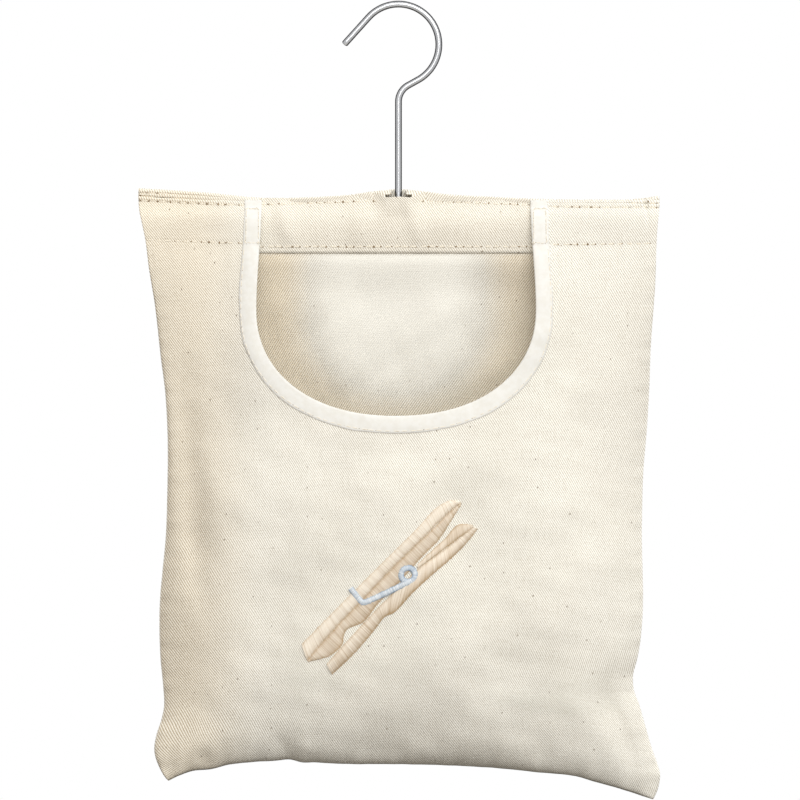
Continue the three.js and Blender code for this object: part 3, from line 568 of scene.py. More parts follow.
def frontHang(x, z, layers=0):
    # the front ahead of the casing, and its own hem one layer behind
    form = bagForm
    away = np.abs(x)
    beside = away + form["slitClear"] * (away < form["slitClear"])
    low, high = (most - less * layers for most, less in form["ahead"])
    ahead = mix(low, high, rampAt(z, *form["aheadFrom"]))
    return casingProfile(beside, np.maximum(z, form["barFront"]), "casing") + ahead


def casingHalf(x, z, u):
    return mix(casingProfile(x, z, "casing"), frontHang(x, z) - bagForm["closeBehind"], closeShare(u))


def casingBack(x, z, u):
    form = bagForm
    level = np.maximum(z, form["hem"])
    stack = mix(*form["closeStack"], rampAt(z, form["tuck"] - form["closeRun"], form["closeRun"]))
    return mix(casingProfile(x, level, "casingBack"), stack - frontHang(x, level), closeShare(u))


def swell(rise):
    full = bagForm["fullest"]
    foot = np.sqrt(np.clip(1 - np.abs(1 - rise / full) ** bagForm["foot"], 0, 1))
    fade = np.clip((rise - full) / (1 - full), 0, 1)
    return np.where(rise <= full, foot, np.cos(math.pi / 2 * fade ** bagForm["fade"]))


def acrossShape(u, sides):
    left, right = sides
    power, ease = (np.where(u < 0, a, b) for a, b in zip(left, right))
    return np.clip(1 - np.abs(u) ** power, 0, 1) ** ease


def foldLift(folds, x, z):
    lift = np.zeros(np.broadcast(x, z).shape)
    for x0, z0, x1, z1, width, height in folds:
        dx, dz = x1 - x0, z1 - z0
        length = math.hypot(dx, dz)
        t = ((x - x0) * dx + (z - z0) * dz) / length ** 2
        aside = ((z - z0) * dx - (x - x0) * dz) / length
        lift = lift + height * smoothStep(t / foldEase) * smoothStep((1 - t) / foldEase) * bell(aside, width)
    return lift


def clothWaves(x, z, seed):
    # gentle unevenness of a hung cloth
    rng = np.random.default_rng(seed)
    lift = np.zeros(np.broadcast(x, z).shape)
    for length, height in bagForm["waves"]:
        for _ in range(bagForm["wavesEach"]):
            angle, phase = rng.uniform(0, math.pi), rng.uniform(0, 2 * math.pi)
            along = x * math.cos(angle) + z * math.sin(angle)
            lift = lift + height * np.sin(along * 2 * math.pi / length + phase)
    return lift


def seamShift(u, z):
    # how far the sewn edges wander forwards or back, dying out away from the seam
    form, turn = seamForm, 2 * math.pi
    half = halfWidth(u, z)
    x = u * half
    side = (1 - np.abs(u)) * half
    foot = np.maximum(z - bottomLevel(u), 0)
    below = bagForm["hem"] - z
    left, right = (sines(z, [wave]) for wave in form["sway"])
    sway = np.where(u < 0, left, right) * np.exp(-side / form["swayReach"])
    sway = sway * smoothStep(below / form["swayDrop"])
    pucker = sines(z * turn, form["pucker"]) * form["puckerLift"] * np.exp(-side / form["puckerReach"])
    pucker = pucker * smoothStep(below / form["puckerDrop"])
    hem = sines(x * turn, form["foot"]) * form["footLift"] * np.exp(-foot / form["footReach"])
    drift = sines(x, form["drift"]) * np.exp(-foot / form["driftReach"])
    bow = np.clip((z - form["bowLevel"]) / form["bowRun"], -form["bowMost"], form["bowMost"]) ** 2
    crease = x - form["pleatAt"] + form["bow"] * bow - form["bow"]
    pleat = form["pleat"] * bell(crease, form["pleatWidth"]) * rampAt(z, *form["pleatLow"])
    return pleat + sway + pucker + hem + drift


def frontOut(x, z):
    form = bagForm
    u = acrossBag(x, z)
    hang = frontHang(x, z)
    low = bottomLevel(u)
    rise = np.clip((z - low) / (form["hem"] - low), 0, 1)
    edge = mix(form["layer"] / 2, hang, joinShare(rise))
    full = swell(rise) * acrossShape(u, form["frontSides"])
    soft = foldLift(frontFolds, x, z) + clothWaves(x, z, form["seed"])
    body = edge + form["frontDepth"] * full + soft * np.clip(full * form["loose"], 0, 1)
    shoulder = hang + foldLift(shoulderFolds, x, z)
    return np.where(z >= form["hem"], shoulder, body) + shoulderDetail(x, z) + lipFlare(x, z)


def mouthHalf(z):
    form = mouthForm
    return mix(form["half"], form["topHalf"], rampAt(z, form["bend"], form["bendRun"]))


def mouthDeep(z, grow=0.0):
    # 0 where the mouth's sides begin to bend, 1 at its lowest level
    form = mouthForm
    return np.clip((form["bend"] - z) / (form["bend"] - form["low"] + grow), 0, form["deepMost"])


def lipFlare(x, z):
    form = mouthForm
    into = np.abs(x - form["centre"]) - mouthHalf(z)
    tall = rampAt(z, *form["flareTop"]) * rampAt(z, *form["flareLow"])
    return form["flare"] * tall * bell(into, form["flareReach"])


def stitchBeat(x, pitch):
    # 1 at each stitch, 0 between two
    return 0.5 + 0.5 * np.cos(x * 2 * math.pi / pitch)


def rowDip(away, beat, dip):
    least, more, width = dip
    return -(least + more * beat) * bell(away, width)


def shoulderDetail(x, z):
    # rolled cloth above the top stitching, and the dip and puckers along both stitch rows
    form = shoulderForm
    above = z - curveThrough(bagForm["topStitch"], x)
    aboveHem = z - curveThrough(bagForm["hemStitch"], x)
    wave = sines(x, form["wave"])
    roll = sum(height * bell(above - level - stray * wave, width)
               for height, level, width, stray in form["rolls"])
    left, right = (rampAt(x, *end) for end in form["rollEnds"])
    roll = roll * mix(*form["rollShare"], np.where(x < 0, left, right))
    beat = stitchBeat(x, form["beat"])
    dips = rowDip(above, beat, form["topDip"]) + rowDip(aboveHem, beat, form["hemDip"])
    pucker = bell(aboveHem + form["puckerBelow"], form["puckerWidth"])
    return roll + dips + pucker * sines(x * 2 * math.pi, form["pucker"])


def frontPoint(x, z, lift):
    # a point on the front's outer face, lifted off it; also its outward direction
    x, z = np.asarray(x, float), np.asarray(z, float)

    def place(px, pz):
        return -frontOut(px, pz) + seamShift(acrossBag(px, pz), pz)
    y = place(x, z)
    step = 0.4
    slopeX = (place(x + step, z) - place(x - step, z)) / (2 * step)
    slopeZ = (place(x, z + step) - place(x, z - step)) / (2 * step)
    normal = np.stack([slopeX, -np.ones_like(y), slopeZ], axis=-1)
    normal /= np.linalg.norm(normal, axis=-1, keepdims=True)
    base = np.stack([x, y, z], axis=-1)
    return base + normal * (np.asarray(lift) + bagForm["cloth"] / 2)[..., None], normal


def backDip(x, z):
    # behind the mouth the back hangs straight down before it swells
    form = bagForm
    down = np.sin(math.pi / 2 * np.clip((form["dipTop"] - z) / form["dipRun"], 0, 1))
    return form["dip"] * down * rampAt(z, *form["dipLow"]) * rampAt(np.abs(x), *form["dipEnds"])


def backOut(x, z):
    form = bagForm
    u = acrossBag(x, z)
    low = bottomLevel(u)
    straight = form["straight"] * rampAt(z, *form["straightLow"]) * (1 - closeShare(u))
    rise = np.clip((z + straight - low) / (form["hem"] - low), 0, 1)
    hang = casingBack(x, z, u)
    edge = mix(form["layer"] / 2, hang, joinShare(rise))
    full = swell(rise) * acrossShape(u, form["backSides"])
    soft = foldLift(backFolds, x, z) + clothWaves(x, z, form["backSeed"])
    body = edge + form["backDepth"] * full + soft * np.clip(full * form["loose"], 0, 1)
    return np.where(z >= form["hem"], hang, body - backDip(x, z)) + casingDetail(x, z)


def casingDetail(x, z):
    # the dip along its hem, ridges at its top stitching and creases across it
    form = casingForm
    above = z - curveThrough(bagForm["topStitch"], x)
    away = 1 - slitShare(x)
    dip = rowDip(z - bagForm["hem"], stitchBeat(x, form["beat"]), form["hemDip"])
    ridge = sines(x, form["ridge"]) * bell(above - form["ridgeAbove"], form["ridgeWidth"]) * away
    loose = sines(x, form["loose"]) * bell(z - form["looseLevel"], form["looseWidth"]) * away
    return dip + ridge + np.maximum(loose, 0) + foldLift(casingFolds, x, z)


# panels

panelForm = {
    "columns": 156, "edgeColumns": 22, "edge": 0.87, "bodyRows": 146, "casingRows": 24, "ridgeRows": 16,
    "turnedRows": 6, "innerRows": 11, "tuckRows": 3, "evenRows": 0.55, "crowded": 1.7,
    "topMiddle": -112.0, "frontDrop": 0.7, "fold": (30, 60, 90, 120, 150, 168), "turned": 1.5,
    "flatHalf": 152.5,
}


def panelColumns():
    form = panelForm
    edge = np.linspace(form["edge"], 1, form["edgeColumns"])
    middle = np.linspace(-form["edge"], form["edge"], form["columns"])
    return np.concatenate([-edge[:0:-1], middle, edge[1:]])


def panelRises():
    k, even = np.linspace(0, 1, panelForm["bodyRows"]), panelForm["evenRows"]
    return even * k + (1 - even) * k ** panelForm["crowded"]


def panelGrid(facing):
    # one length of cloth: bottom seam, body, over the top edge, hem on the inside
    form = panelForm
    u = panelColumns() * -facing
    low, hem = bottomLevel(u), bagForm["hem"]
    columns = []

    def station(z, offset):
        x = u * halfWidth(u, z)
        columns.append(np.stack([x, offset(x, z) + seamShift(u, z), z + 0 * x], axis=-1))

    def stations(start, end, shares, offset):
        for t in shares:
            station(mix(start, end, t), offset)

    def outer(x, z):
        return backOut(x, z) if facing > 0 else -frontOut(x, z)

    def hemLayer(x, z):
        if facing > 0:
            return -casingHalf(x, z, u) - casingDetail(x, z)
        return -frontHang(x, z, 1)

    topX = u * halfWidth(u, np.full_like(u, form["topMiddle"]))
    stitch = curveThrough(bagForm["topStitch"], topX)
    slit = slitShare(topX) if facing > 0 else np.zeros_like(u)
    top = topLevel(topX) - bagForm["layer"] / 2 - (form["frontDrop"] if facing < 0 else 0.0)
    lip = top - bagForm["slitDrop"] * slit
    gap = bagForm["slitGap"] * slit
    stations(low, hem, panelRises(), outer)
    stations(hem, stitch, np.linspace(0, 1, form["casingRows"])[1:], outer)
    stations(stitch, top, np.linspace(0, 1, form["ridgeRows"])[1:], outer)
    start = columns[-1][:, 1]
    end = hemLayer(topX, lip) + seamShift(u, lip)
    firstFold = len(columns)
    for angle in np.radians(form["fold"]):
        share = (1 - math.cos(angle)) / 2
        z = mix(top, lip + gap, share) + bagForm["layer"] / 2 * math.sin(angle)
        columns.append(np.stack([topX, mix(start, end, share), z], axis=-1))
    lastFold = len(columns)
    turned = np.minimum(stitch, lip - form["turned"])
    stations(lip, turned, np.linspace(0, 1, form["turnedRows"]), hemLayer)
    stations(turned, hem, np.linspace(0, 1, form["innerRows"])[1:], hemLayer)
    stations(np.full_like(u, hem), bagForm["tuck"], np.linspace(0, 1, form["tuckRows"])[1:], hemLayer)
    grid = np.stack(columns, axis=1)
    length = np.linalg.norm(np.diff(grid, axis=1), axis=2).mean(axis=0)
    across, up = -facing * u * form["flatHalf"], np.concatenate([[0], np.cumsum(length)])
    flat = np.stack(np.broadcast_arrays(across[:, None], up[None]), axis=-1)
    return grid, flat, firstFold, lastFold


def insideMouth(x, z, grow):
    reach = np.abs(x - mouthForm["centre"]) / (mouthHalf(z) + grow)
    return reach ** mouthForm["round"] + mouthDeep(z, grow) ** mouthForm["round"] < 1


def setPaintedShadeAndLight(mesh, paintedShadeAt):
    # painted shade (above 0) and painted light (below 0) in the cloth's colour, from -1 to 1, where it looks
    # forward
    place, turn = (np.empty(len(mesh.vertices) * 3, np.float32) for _ in range(2))
    mesh.vertices.foreach_get("co", place)
    mesh.vertices.foreach_get("normal", turn)
    x, z = place.reshape(-1, 3).T[[0, 2]] / mm
    setAttribute(mesh, "raw", paintedShadeAt(x, z) * (turn.reshape(-1, 3)[:, 1] < 0))


paintedShadeForm = {
    # painted shade down the front's left side, away from the key light
    "left": 0.6, "leftFrom": (-75.0, -50.0),
    # painted shade behind the mouth, from 0 in its middle to 1 at its edge, painted light in its middle, and
    # an even painted shade on the casing strip
    "low": 0.8, "paintedShadeFrom": (0.4, 0.52), "right": 0.85, "rightFrom": (-40.0, 80.0),
    "paintedLight": 0.72, "paintedLightTo": (0.92, -0.6), "casing": 0.25, "casingBelow": 1.5,
}


def frontPaintedShade(x, z):
    # painted shade, growing towards the front's left side
    return paintedShadeForm["left"] * rampAt(x, *paintedShadeForm["leftFrom"])


def backPaintedShadeAndLight(x, z):
    # painted light in the middle of the mouth, where the light falls in, and painted shade behind its edges
    form, power = paintedShadeForm, mouthForm["round"]
    reach = np.abs(x - mouthForm["centre"]) / mouthHalf(z)
    edge = (reach ** power + (form["low"] * mouthDeep(z)) ** power) ** (1 / power)
    raw = rampAt(edge, *form["paintedShadeFrom"]) * mix(1.0, form["right"], rampAt(x, *form["rightFrom"]))
    raw = raw - form["paintedLight"] * rampAt(edge, *form["paintedLightTo"])
    # an even painted shade on the casing strip, which sits back under the shoulders
    return np.where(z > bagForm["tuck"] - form["casingBelow"], form["casing"], raw)


def faceCentres(grid):
    return (grid[1:, 1:] + grid[:-1, :-1]) / 2


frontGrid, frontFlat, _, _ = panelGrid(-1)
centre = faceCentres(frontGrid)
frontKeep = ~insideMouth(centre[..., 0], centre[..., 2], mouthForm["rawEdge"])
frontMesh = sheetMesh("frontPanel", frontGrid, bagForm["cloth"], frontFlat, frontKeep)
setPaintedShadeAndLight(frontMesh, frontPaintedShade)
frontPanel = newObject("frontPanel", frontMesh, twill)
addPiece(frontPanel, "bag", "cotton_twill", "front_panel")

backGrid, backFlat, firstFold, lastFold = panelGrid(1)
away = np.abs(faceCentres(backGrid)[..., 0])
row = np.arange(away.shape[1])[None]
hole = (row >= firstFold - 1) & (row < lastFold) & (away < bagForm["wireHole"])
slit = (row == lastFold - 1) & (away < bagForm["slitHalf"])
backKeep = ~(hole | slit)
backMesh = sheetMesh("backPanel", backGrid, bagForm["cloth"], backFlat, backKeep)
setPaintedShadeAndLight(backMesh, backPaintedShadeAndLight)
backPanel = newObject("backPanel", backMesh, twill)
addPiece(backPanel, "bag", "cotton_twill", "back_panel")
print("panels:", len(frontMesh.polygons), len(backMesh.polygons), "faces")


# bias binding round the mouth

bindingForm = {
    "width": 10.0, "backWidth": 8.0, "tape": 0.36, "steps": 300, "frontRows": 10, "backRows": 6,
    "lip": 0.7, "turn": (25, 60, 90, 120, 155),
    # distance from the panel in front, and behind, where the shoulders' hem takes more
    "clear": 0.04, "backClear": 0.2, "hemClear": 1.05, "hemRun": 12.0,
    # unevenness of its face and of its sewn edge: (points along it, height)
    "face": (60, 0.1), "edge": (45, 0.22), "backFace": 0.06, "seed": 7,
    "crown": 0.22, "crownPower": 0.8,
    # furrow of the stitching: depth and how it varies with the stitches, place across, half width
    "furrow": (0.16, 0.1), "furrowAt": 0.86, "furrowWidth": 0.07, "pitch": 4.6,
}


def mouthPath(count):
    # points along the lip from the left shoulder round to the right, with the way into the cloth
    form = mouthForm
    t = np.linspace(0, 1, form["pathSteps"])
    run = form["straight"]
    angle = np.clip((t - run) / (1 - 2 * run), 0, 1) * math.pi
    power = 2 / form["round"]
    cosine, sine = np.cos(angle), np.sin(angle)
    x = form["centre"] - np.sign(cosine) * np.abs(cosine) ** power * form["half"]
    z = form["bend"] - np.abs(sine) ** power * (form["bend"] - form["low"])
    straight = np.minimum(np.minimum(t, 1 - t) / run, 1.0)
    z = np.where(straight < 1, mix(form["pathTop"], form["bend"], straight), z)
    x = np.where(straight < 1, form["centre"] + np.sign(t - 0.5) * mouthHalf(z), x)
    away = distanceAlong(np.stack([x, z], axis=-1))
    at = np.linspace(0, away[-1], count)
    x, z = np.interp(at, away, x), np.interp(at, away, z)
    dx, dz = np.gradient(x), np.gradient(z)
    size = np.hypot(dx, dz)
    return x, z, dz / size, -dx / size, at


def bindingGrid():
    form, lip = bindingForm, bindingForm["lip"]
    x, z, nx, nz, at = mouthPath(form["steps"])
    hemmed = smoothStep((z - bagForm["tuck"] + form["hemRun"]) / form["hemRun"])
    front = bagForm["cloth"] / 2 + form["tape"] / 2 + form["clear"]
    back = -front - form["backClear"] - form["hemClear"] * hemmed
    rng = np.random.default_rng(form["seed"])

    def uneven(count):
        return np.interp(at, np.linspace(0, at[-1], count), rng.normal(0, 1, count))
    face, edge = (uneven(form[kind][0]) for kind in ("face", "edge"))
    depth, more = form["furrow"]
    furrow = depth + more * np.cos(at * 2 * math.pi / form["pitch"])
    rows = []
    for share in np.linspace(1, 0, form["frontRows"]):  # front leaf, from its sewn edge to the lip
        into = lip + share * (form["width"] - lip + form["edge"][1] * edge)
        arch = np.sin(math.pi * share)
        crown = form["crown"] * arch ** form["crownPower"] + form["face"][1] * face * arch
        rows.append((into, front + crown - furrow * bell(share - form["furrowAt"], form["furrowWidth"])))
    for angle in np.radians(form["turn"]):  # turn over the raw edge
        rows.append((lip - lip * math.sin(angle), mix(front, back, (1 - math.cos(angle)) / 2)))
    for share in np.linspace(0, 1, form["backRows"]):  # back leaf
        rows.append((lip + share * (form["backWidth"] - lip), back + form["backFace"] * face))
    columns = []
    for into, lift in rows:
        px, pz = x + nx * into, z + nz * into
        y = -frontOut(px, pz) + seamShift(acrossBag(px, pz), pz) - lift
        columns.append(np.stack([px, y, pz], axis=-1))
    grid = np.stack(columns, axis=1)
    width = np.concatenate([[0], np.cumsum(np.linalg.norm(np.diff(grid, axis=1), axis=2).mean(axis=0))])
    flat = np.stack(np.broadcast_arrays(at[::-1, None], width[None]), axis=-1)
    length = np.linalg.norm(np.diff(grid, axis=0), axis=2).sum(axis=0).max()
    return grid, flat, width[-1], length


tapeGrid, tapeFlat, tapeWidth, tapeLength = bindingGrid()
tapeMesh = sheetMesh("mouthBinding", tapeGrid, bindingForm["tape"], tapeFlat)
mouthBinding = newObject("mouthBinding", tapeMesh, binding)
addPiece(mouthBinding, "bag", "binding_tape", "mouth_binding")
print("binding:", round(tapeWidth, 1), "x", round(tapeLength, 1), "mm")


# node trees

class Tree:
    # short way to write a geometry node tree with named inputs
    def __init__(self, name, inputs):
        self.tree = bpy.data.node_groups.new(name, "GeometryNodeTree")
        face = self.tree.interface
        face.new_socket("Geometry", in_out="INPUT", socket_type="NodeSocketGeometry")
        self.ids = {}
        for label, kind in inputs.items():
            socket = face.new_socket(label, in_out="INPUT", socket_type="NodeSocket" + kind)
            self.ids[label] = socket.identifier
        face.new_socket("Geometry", in_out="OUTPUT", socket_type="NodeSocketGeometry")
        self.start = self.tree.nodes.new("NodeGroupInput")
        self.end = self.tree.nodes.new("NodeGroupOutput")

    def add(self, kind, values=None, **settings):
        node = self.tree.nodes.new(kind)
        for key, value in settings.items():
            setattr(node, key, value)
        for key, value in (values or {}).items():
            if isinstance(value, bpy.types.NodeSocket):
                self.tree.links.new(value, node.inputs[key])
            else:
                node.inputs[key].default_value = value
        return node

    def given(self, label):
        return self.start.outputs[label]

    def math(self, operation, a, b=0.0):
        return self.add("ShaderNodeMath", {0: a, 1: b}, operation=operation).outputs[0]

    def vector(self, x=0.0, y=0.0, z=0.0):
        return self.add("ShaderNodeCombineXYZ", {0: x, 1: y, 2: z}).outputs[0]

    def randomVector(self, least, most, seed):
        return self.add("FunctionNodeRandomValue", {"Min": least, "Max": most, "Seed": seed},
                        data_type="FLOAT_VECTOR").outputs[0]

    def tube(self, line, sides):
        ring = self.add("GeometryNodeCurvePrimitiveCircle", {
            "Resolution": sides, "Radius": self.given("Radius")})
        return self.add("GeometryNodeCurveToMesh", {
            "Curve": line.outputs[0], "Profile Curve": ring.outputs[0], "Fill Caps": True})

    def spread(self, points, instance, turn, size, material):
        # one solid copy of the instance at each point
        row = self.add("GeometryNodeInstanceOnPoints", {
            "Points": points.outputs[0], "Instance": instance.outputs[0],
            "Rotation": turn.outputs[0], "Scale": size})
        solid = self.add("GeometryNodeRealizeInstances", {0: row.outputs[0]})
        return self.dressed(solid, material)

    def dressed(self, solid, material):
        return self.add("GeometryNodeSetMaterial", {
            "Geometry": solid.outputs[0], "Material": self.given(material)})

    def finish(self, geometry):
        self.tree.links.new(geometry, self.end.inputs[0])

    def bake(self, carrier, values):
        # runs the tree on a carrier mesh and gives the plain mesh it makes
        source = newObject("carrier", carrier)
        modifier = source.modifiers.new("nodes", "NODES")
        modifier.node_group = self.tree
        for label, value in values.items():
            modifier[self.ids[label]] = value
        graph = bpy.context.evaluated_depsgraph_get()
        made = bpy.data.meshes.new_from_object(source.evaluated_get(graph), preserve_all_data_layers=True,
                                               depsgraph=graph)
        source.modifiers.remove(modifier)
        bpy.data.objects.remove(source)
        return made


stitchForm = {
    "sides": 6, "strandSides": 5, "points": 6, "crown": 1.6, "stray": 0.8 * mm, "straySeed": 5,
    "least": (0.88, 0.9, 0.9), "most": (1.08, 1.1, 1.1), "seed": 3,
    # painted shade: flattened dark dots of uneven size stand for the shadow in each needle hole
    "holeShadowShape": (1.25, 0.9, 0.35), "holeShadowLeast": (0.5,) * 3, "holeShadowMost": (1.4,) * 3, "holeShadowSeed": 8,
}


def stitchTree():
    # arched stitches along a line, with a dark dot at the end of each, painted shade of the needle hole
    form = stitchForm
    t = Tree("stitchRow", {"Pitch": "Float", "Length": "Float", "Radius": "Float", "Dip": "Float",
                           "HoleShadowRadius": "Float", "Thread": "Material", "HoleShadow": "Material"})
    line = t.add("GeometryNodeMeshToCurve", {0: t.given("Geometry")})
    spaced = t.add("GeometryNodeResampleCurve", {"Curve": line.outputs[0], "Length": t.given("Pitch")},
                   mode="LENGTH")
    outward = t.add("GeometryNodeInputNamedAttribute", {"Name": "outward"}, data_type="FLOAT_VECTOR")
    tangent = t.add("GeometryNodeInputTangent")
    stray = t.add("FunctionNodeRandomValue", {2: -form["stray"], 3: form["stray"], "Seed": form["straySeed"]},
                  data_type="FLOAT")
    along = t.add("ShaderNodeVectorMath", {0: tangent.outputs[0], "Scale": stray.outputs[1]},
                  operation="SCALE")
    uneven = t.add("GeometryNodeSetPosition", {"Geometry": spaced.outputs[0], "Offset": along.outputs[0]})
    turn = t.add("FunctionNodeAxesToRotation", {0: outward.outputs[0], 1: tangent.outputs[0]},
                 primary_axis="Z", secondary_axis="X")
    half = t.math("MULTIPLY", t.given("Length"), 0.5)
    under = t.math("MULTIPLY", t.given("Dip"), -1.0)
    crown = t.math("MULTIPLY", t.given("Dip"), form["crown"])
    arch = t.add("GeometryNodeCurveQuadraticBezier", {
        "Resolution": form["points"], "Start": t.vector(t.math("MULTIPLY", half, -1.0), 0.0, under),
        "Middle": t.vector(0.0, 0.0, crown), "End": t.vector(half, 0.0, under)})
    size = t.randomVector(form["least"], form["most"], form["seed"])
    sewn = t.spread(uneven, t.tube(arch, form["sides"]), turn, size, "Thread")
    dot = t.add("GeometryNodeMeshUVSphere", {"Segments": 8, "Rings": 4, "Radius": t.given("HoleShadowRadius")})
    between = t.vector(t.math("MULTIPLY", t.given("Pitch"), 0.5), 0.0, 0.0)
    holeShadowDot = t.add("GeometryNodeTransform", {"Geometry": dot.outputs[0], "Scale": form["holeShadowShape"],
                                          "Translation": between})
    holeShadowSize = t.randomVector(form["holeShadowLeast"], form["holeShadowMost"], form["holeShadowSeed"])
    dark = t.spread(uneven, holeShadowDot, turn, holeShadowSize, "HoleShadow")
    both = t.add("GeometryNodeJoinGeometry")
    t.tree.links.new(sewn.outputs[0], both.inputs[0])
    t.tree.links.new(dark.outputs[0], both.inputs[0])
    t.finish(both.outputs[0])
    return t


def strandTree():
    # round threads along every line of the carrier
    t = Tree("satinThreads", {"Radius": "Float", "Thread": "Material"})
    lines = t.add("GeometryNodeMeshToCurve", {0: t.given("Geometry")})
    solid = t.add("GeometryNodeRealizeInstances", {0: t.tube(lines, stitchForm["strandSides"]).outputs[0]})
    smooth = t.add("GeometryNodeSetShadeSmooth", {"Geometry": solid.outputs[0], "Shade Smooth": True})
    t.finish(t.dressed(smooth, "Thread").outputs[0])
    return t


stitches = stitchTree()
strands = strandTree()


def lineMesh(lines, outward=None, shade=None):
    # separate open lines (each an (n, 3) array in mm) as one carrier mesh
    mesh = bpy.data.meshes.new("lines")
    points = np.concatenate(lines) * mm
    starts = np.cumsum([0] + [len(line) for line in lines[:-1]])
    edges = np.concatenate([np.stack([np.arange(len(line) - 1), np.arange(1, len(line))], axis=-1) + start
                            for line, start in zip(lines, starts)])
    mesh.from_pydata(points.tolist(), edges.tolist(), [])
    if outward is not None:
        setAttribute(mesh, "outward", np.concatenate(outward))
    if shade is not None:
        setAttribute(mesh, "shade", np.concatenate(shade))
    return mesh


# sewing

sewing = {
    # each kind of stitch, mm
    "labels": ("Pitch", "Length", "Radius", "Dip", "HoleShadowRadius"),
    "shoulder": (5.6, 4.4, 0.34, 0.36, 0.62),
    "hem": (5.0, 3.9, 0.32, 0.32, 0.6),
    "casing": (5.2, 4.1, 0.33, 0.34, 0.62),
    "tape": (4.6, 3.6, 0.24, 0.26, 0.24),
    "tack": (2.6, 2.1, 0.22, 0.22, 0.2),
    "shade": 0.35, "steps": 160,
    # shoulder rows: where they start at the mouth and end at the seam, and their lift off the cloth
    "mouthEnd": 91.5, "topEnd": 148.6, "hemEnd": 145.0, "topLift": 0.1, "hemLift": 0.06,
    # stray stitches at the upper corners: place across, and distance below the edge
    "corner": (138, 140, 142, 144, 146, 147.6, 148.8), "cornerDrop": (2.4, 1.9, 3.4, 1.9, 3.8, 2.0, 3.4),
    # box that holds down each end of the tape: distances from the lip, and levels
    "tackNear": 1.4, "tackFar": 8.6, "tackLow": -137.8, "tackHigh": -118.4, "tackMouth": -125.0,
    "tackSteps": 14, "tackInto": 5.0,
    # casing rows: from beside the hook to the mouth's edge inside, and to the seam behind
    "hookEnd": 13.0, "insideEnd": 79.0, "behindEnd": 145.0, "insideRise": 1.2,
    "hemInside": (-80.5, 78.0), "hemBehind": (-138.0, 140.0), "hemRise": 0.2,
    "tapeSteps": 400, "tapeInto": 8.7, "tapeSink": 0.2, "tapeClear": 0.06,
}


def sewRows(name, kind, rows, *nodes):
    # rows: (points, outward) pairs in mm
    carrier = lineMesh([p for p, _ in rows], outward=[n for _, n in rows])
    sizes = {label: size * mm for label, size in zip(sewing["labels"], sewing[kind])}
    made = stitches.bake(carrier, {**sizes, "Thread": sewingThread, "HoleShadow": needleHoleShadow})
    setAttribute(made, "shade", np.full(len(made.vertices), sewing["shade"]))
    return addPiece(newObject(name, made), "bag", "sewing_thread", *nodes)


def tapeLift(into):
    form = bindingForm
    share = min(max((into - form["lip"]) / (form["width"] - form["lip"]), 0), 1)
    crown = form["crown"] * math.sin(math.pi * share) ** form["crownPower"]
    return form["tape"] + sewing["tapeClear"] + crown


def plainFace(x, y, z, way):
    return np.stack([x, y, z], axis=-1), np.tile([0.0, way, 0.0], (len(x), 1))


def casingFront(x, z):
    # the casing's own front face, seen through the mouth
    u = acrossBag(x, z)
    y = -casingHalf(x, z, u) - casingDetail(x, z) + seamShift(u, z) - bagForm["cloth"] / 2
    return plainFace(x, y, z, -1.0)


def backFace(x, z):
    return plainFace(x, backOut(x, z) + seamShift(acrossBag(x, z), z) + bagForm["cloth"] / 2, z, 1.0)


def rowBetween(start, end):
    return np.linspace(sewing[start], sewing[end], sewing["steps"])


def tackBox(side):
    near, far = (side * (mouthHalf(sewing["tackMouth"]) + sewing[end]) + mouthForm["centre"]
                 for end in ("tackNear", "tackFar"))
    low, high = sewing["tackLow"], sewing["tackHigh"]
    corners = np.array([(near, low), (near, high), (far, high), (far, low), (near, low)])
    box = [np.linspace(a, b, sewing["tackSteps"]) for a, b in zip(corners[:-1], corners[1:])]
    return np.concatenate(box).T


for name, side in (("left", -1), ("right", 1)):
    x = side * rowBetween("mouthEnd", "topEnd")
    cornerX = side * np.array(sewing["corner"])
    cornerZ = topLevel(cornerX) - np.array(sewing["cornerDrop"])
    rows = [frontPoint(x, curveThrough(bagForm["topStitch"], x), sewing["topLift"]),
            frontPoint(cornerX, cornerZ, sewing["topLift"])]
    sewRows(name + "ShoulderTopStitching", "shoulder", rows, f"{name}_shoulder_top_stitching")
    x = side * rowBetween("mouthEnd", "hemEnd")
    rows = [frontPoint(x, curveThrough(bagForm["hemStitch"], x), sewing["hemLift"])]
    sewRows(name + "ShoulderHemStitching", "hem", rows, f"{name}_shoulder_hem_stitching")
    rows = [frontPoint(*tackBox(side), tapeLift(sewing["tackInto"]))]
    sewRows(name + "BindingTack", "tack", rows, f"{name}_binding_tack")
    x, behind = side * rowBetween("hookEnd", "insideEnd"), side * rowBetween("hookEnd", "behindEnd")
    rows = [casingFront(x, curveThrough(bagForm["topStitch"], x) + sewing["insideRise"]),
            backFace(behind, curveThrough(bagForm["topStitch"], behind))]
    sewRows(name + "BackTopStitching", "casing", rows, f"{name}_back_top_stitching")
x, behind = (np.linspace(*sewing[ends], sewing["steps"]) for ends in ("hemInside", "hemBehind"))
hemLine = np.full(sewing["steps"], bagForm["hem"] + sewing["hemRise"])
rows = [casingFront(x, hemLine), backFace(behind, hemLine)]
sewRows("backHemStitching", "casing", rows, "back_hem_stitching")
x, z, nx, nz, _ = mouthPath(sewing["tapeSteps"])
into = sewing["tapeInto"]
low = z < bagForm["tuck"]
seam = frontPoint((x + nx * into)[low], (z + nz * into)[low], tapeLift(into) - sewing["tapeSink"])
sewRows("bindingStitching", "tape", [seam], "binding_stitching")
print("stitched")


# overlocked seam allowances on the inside

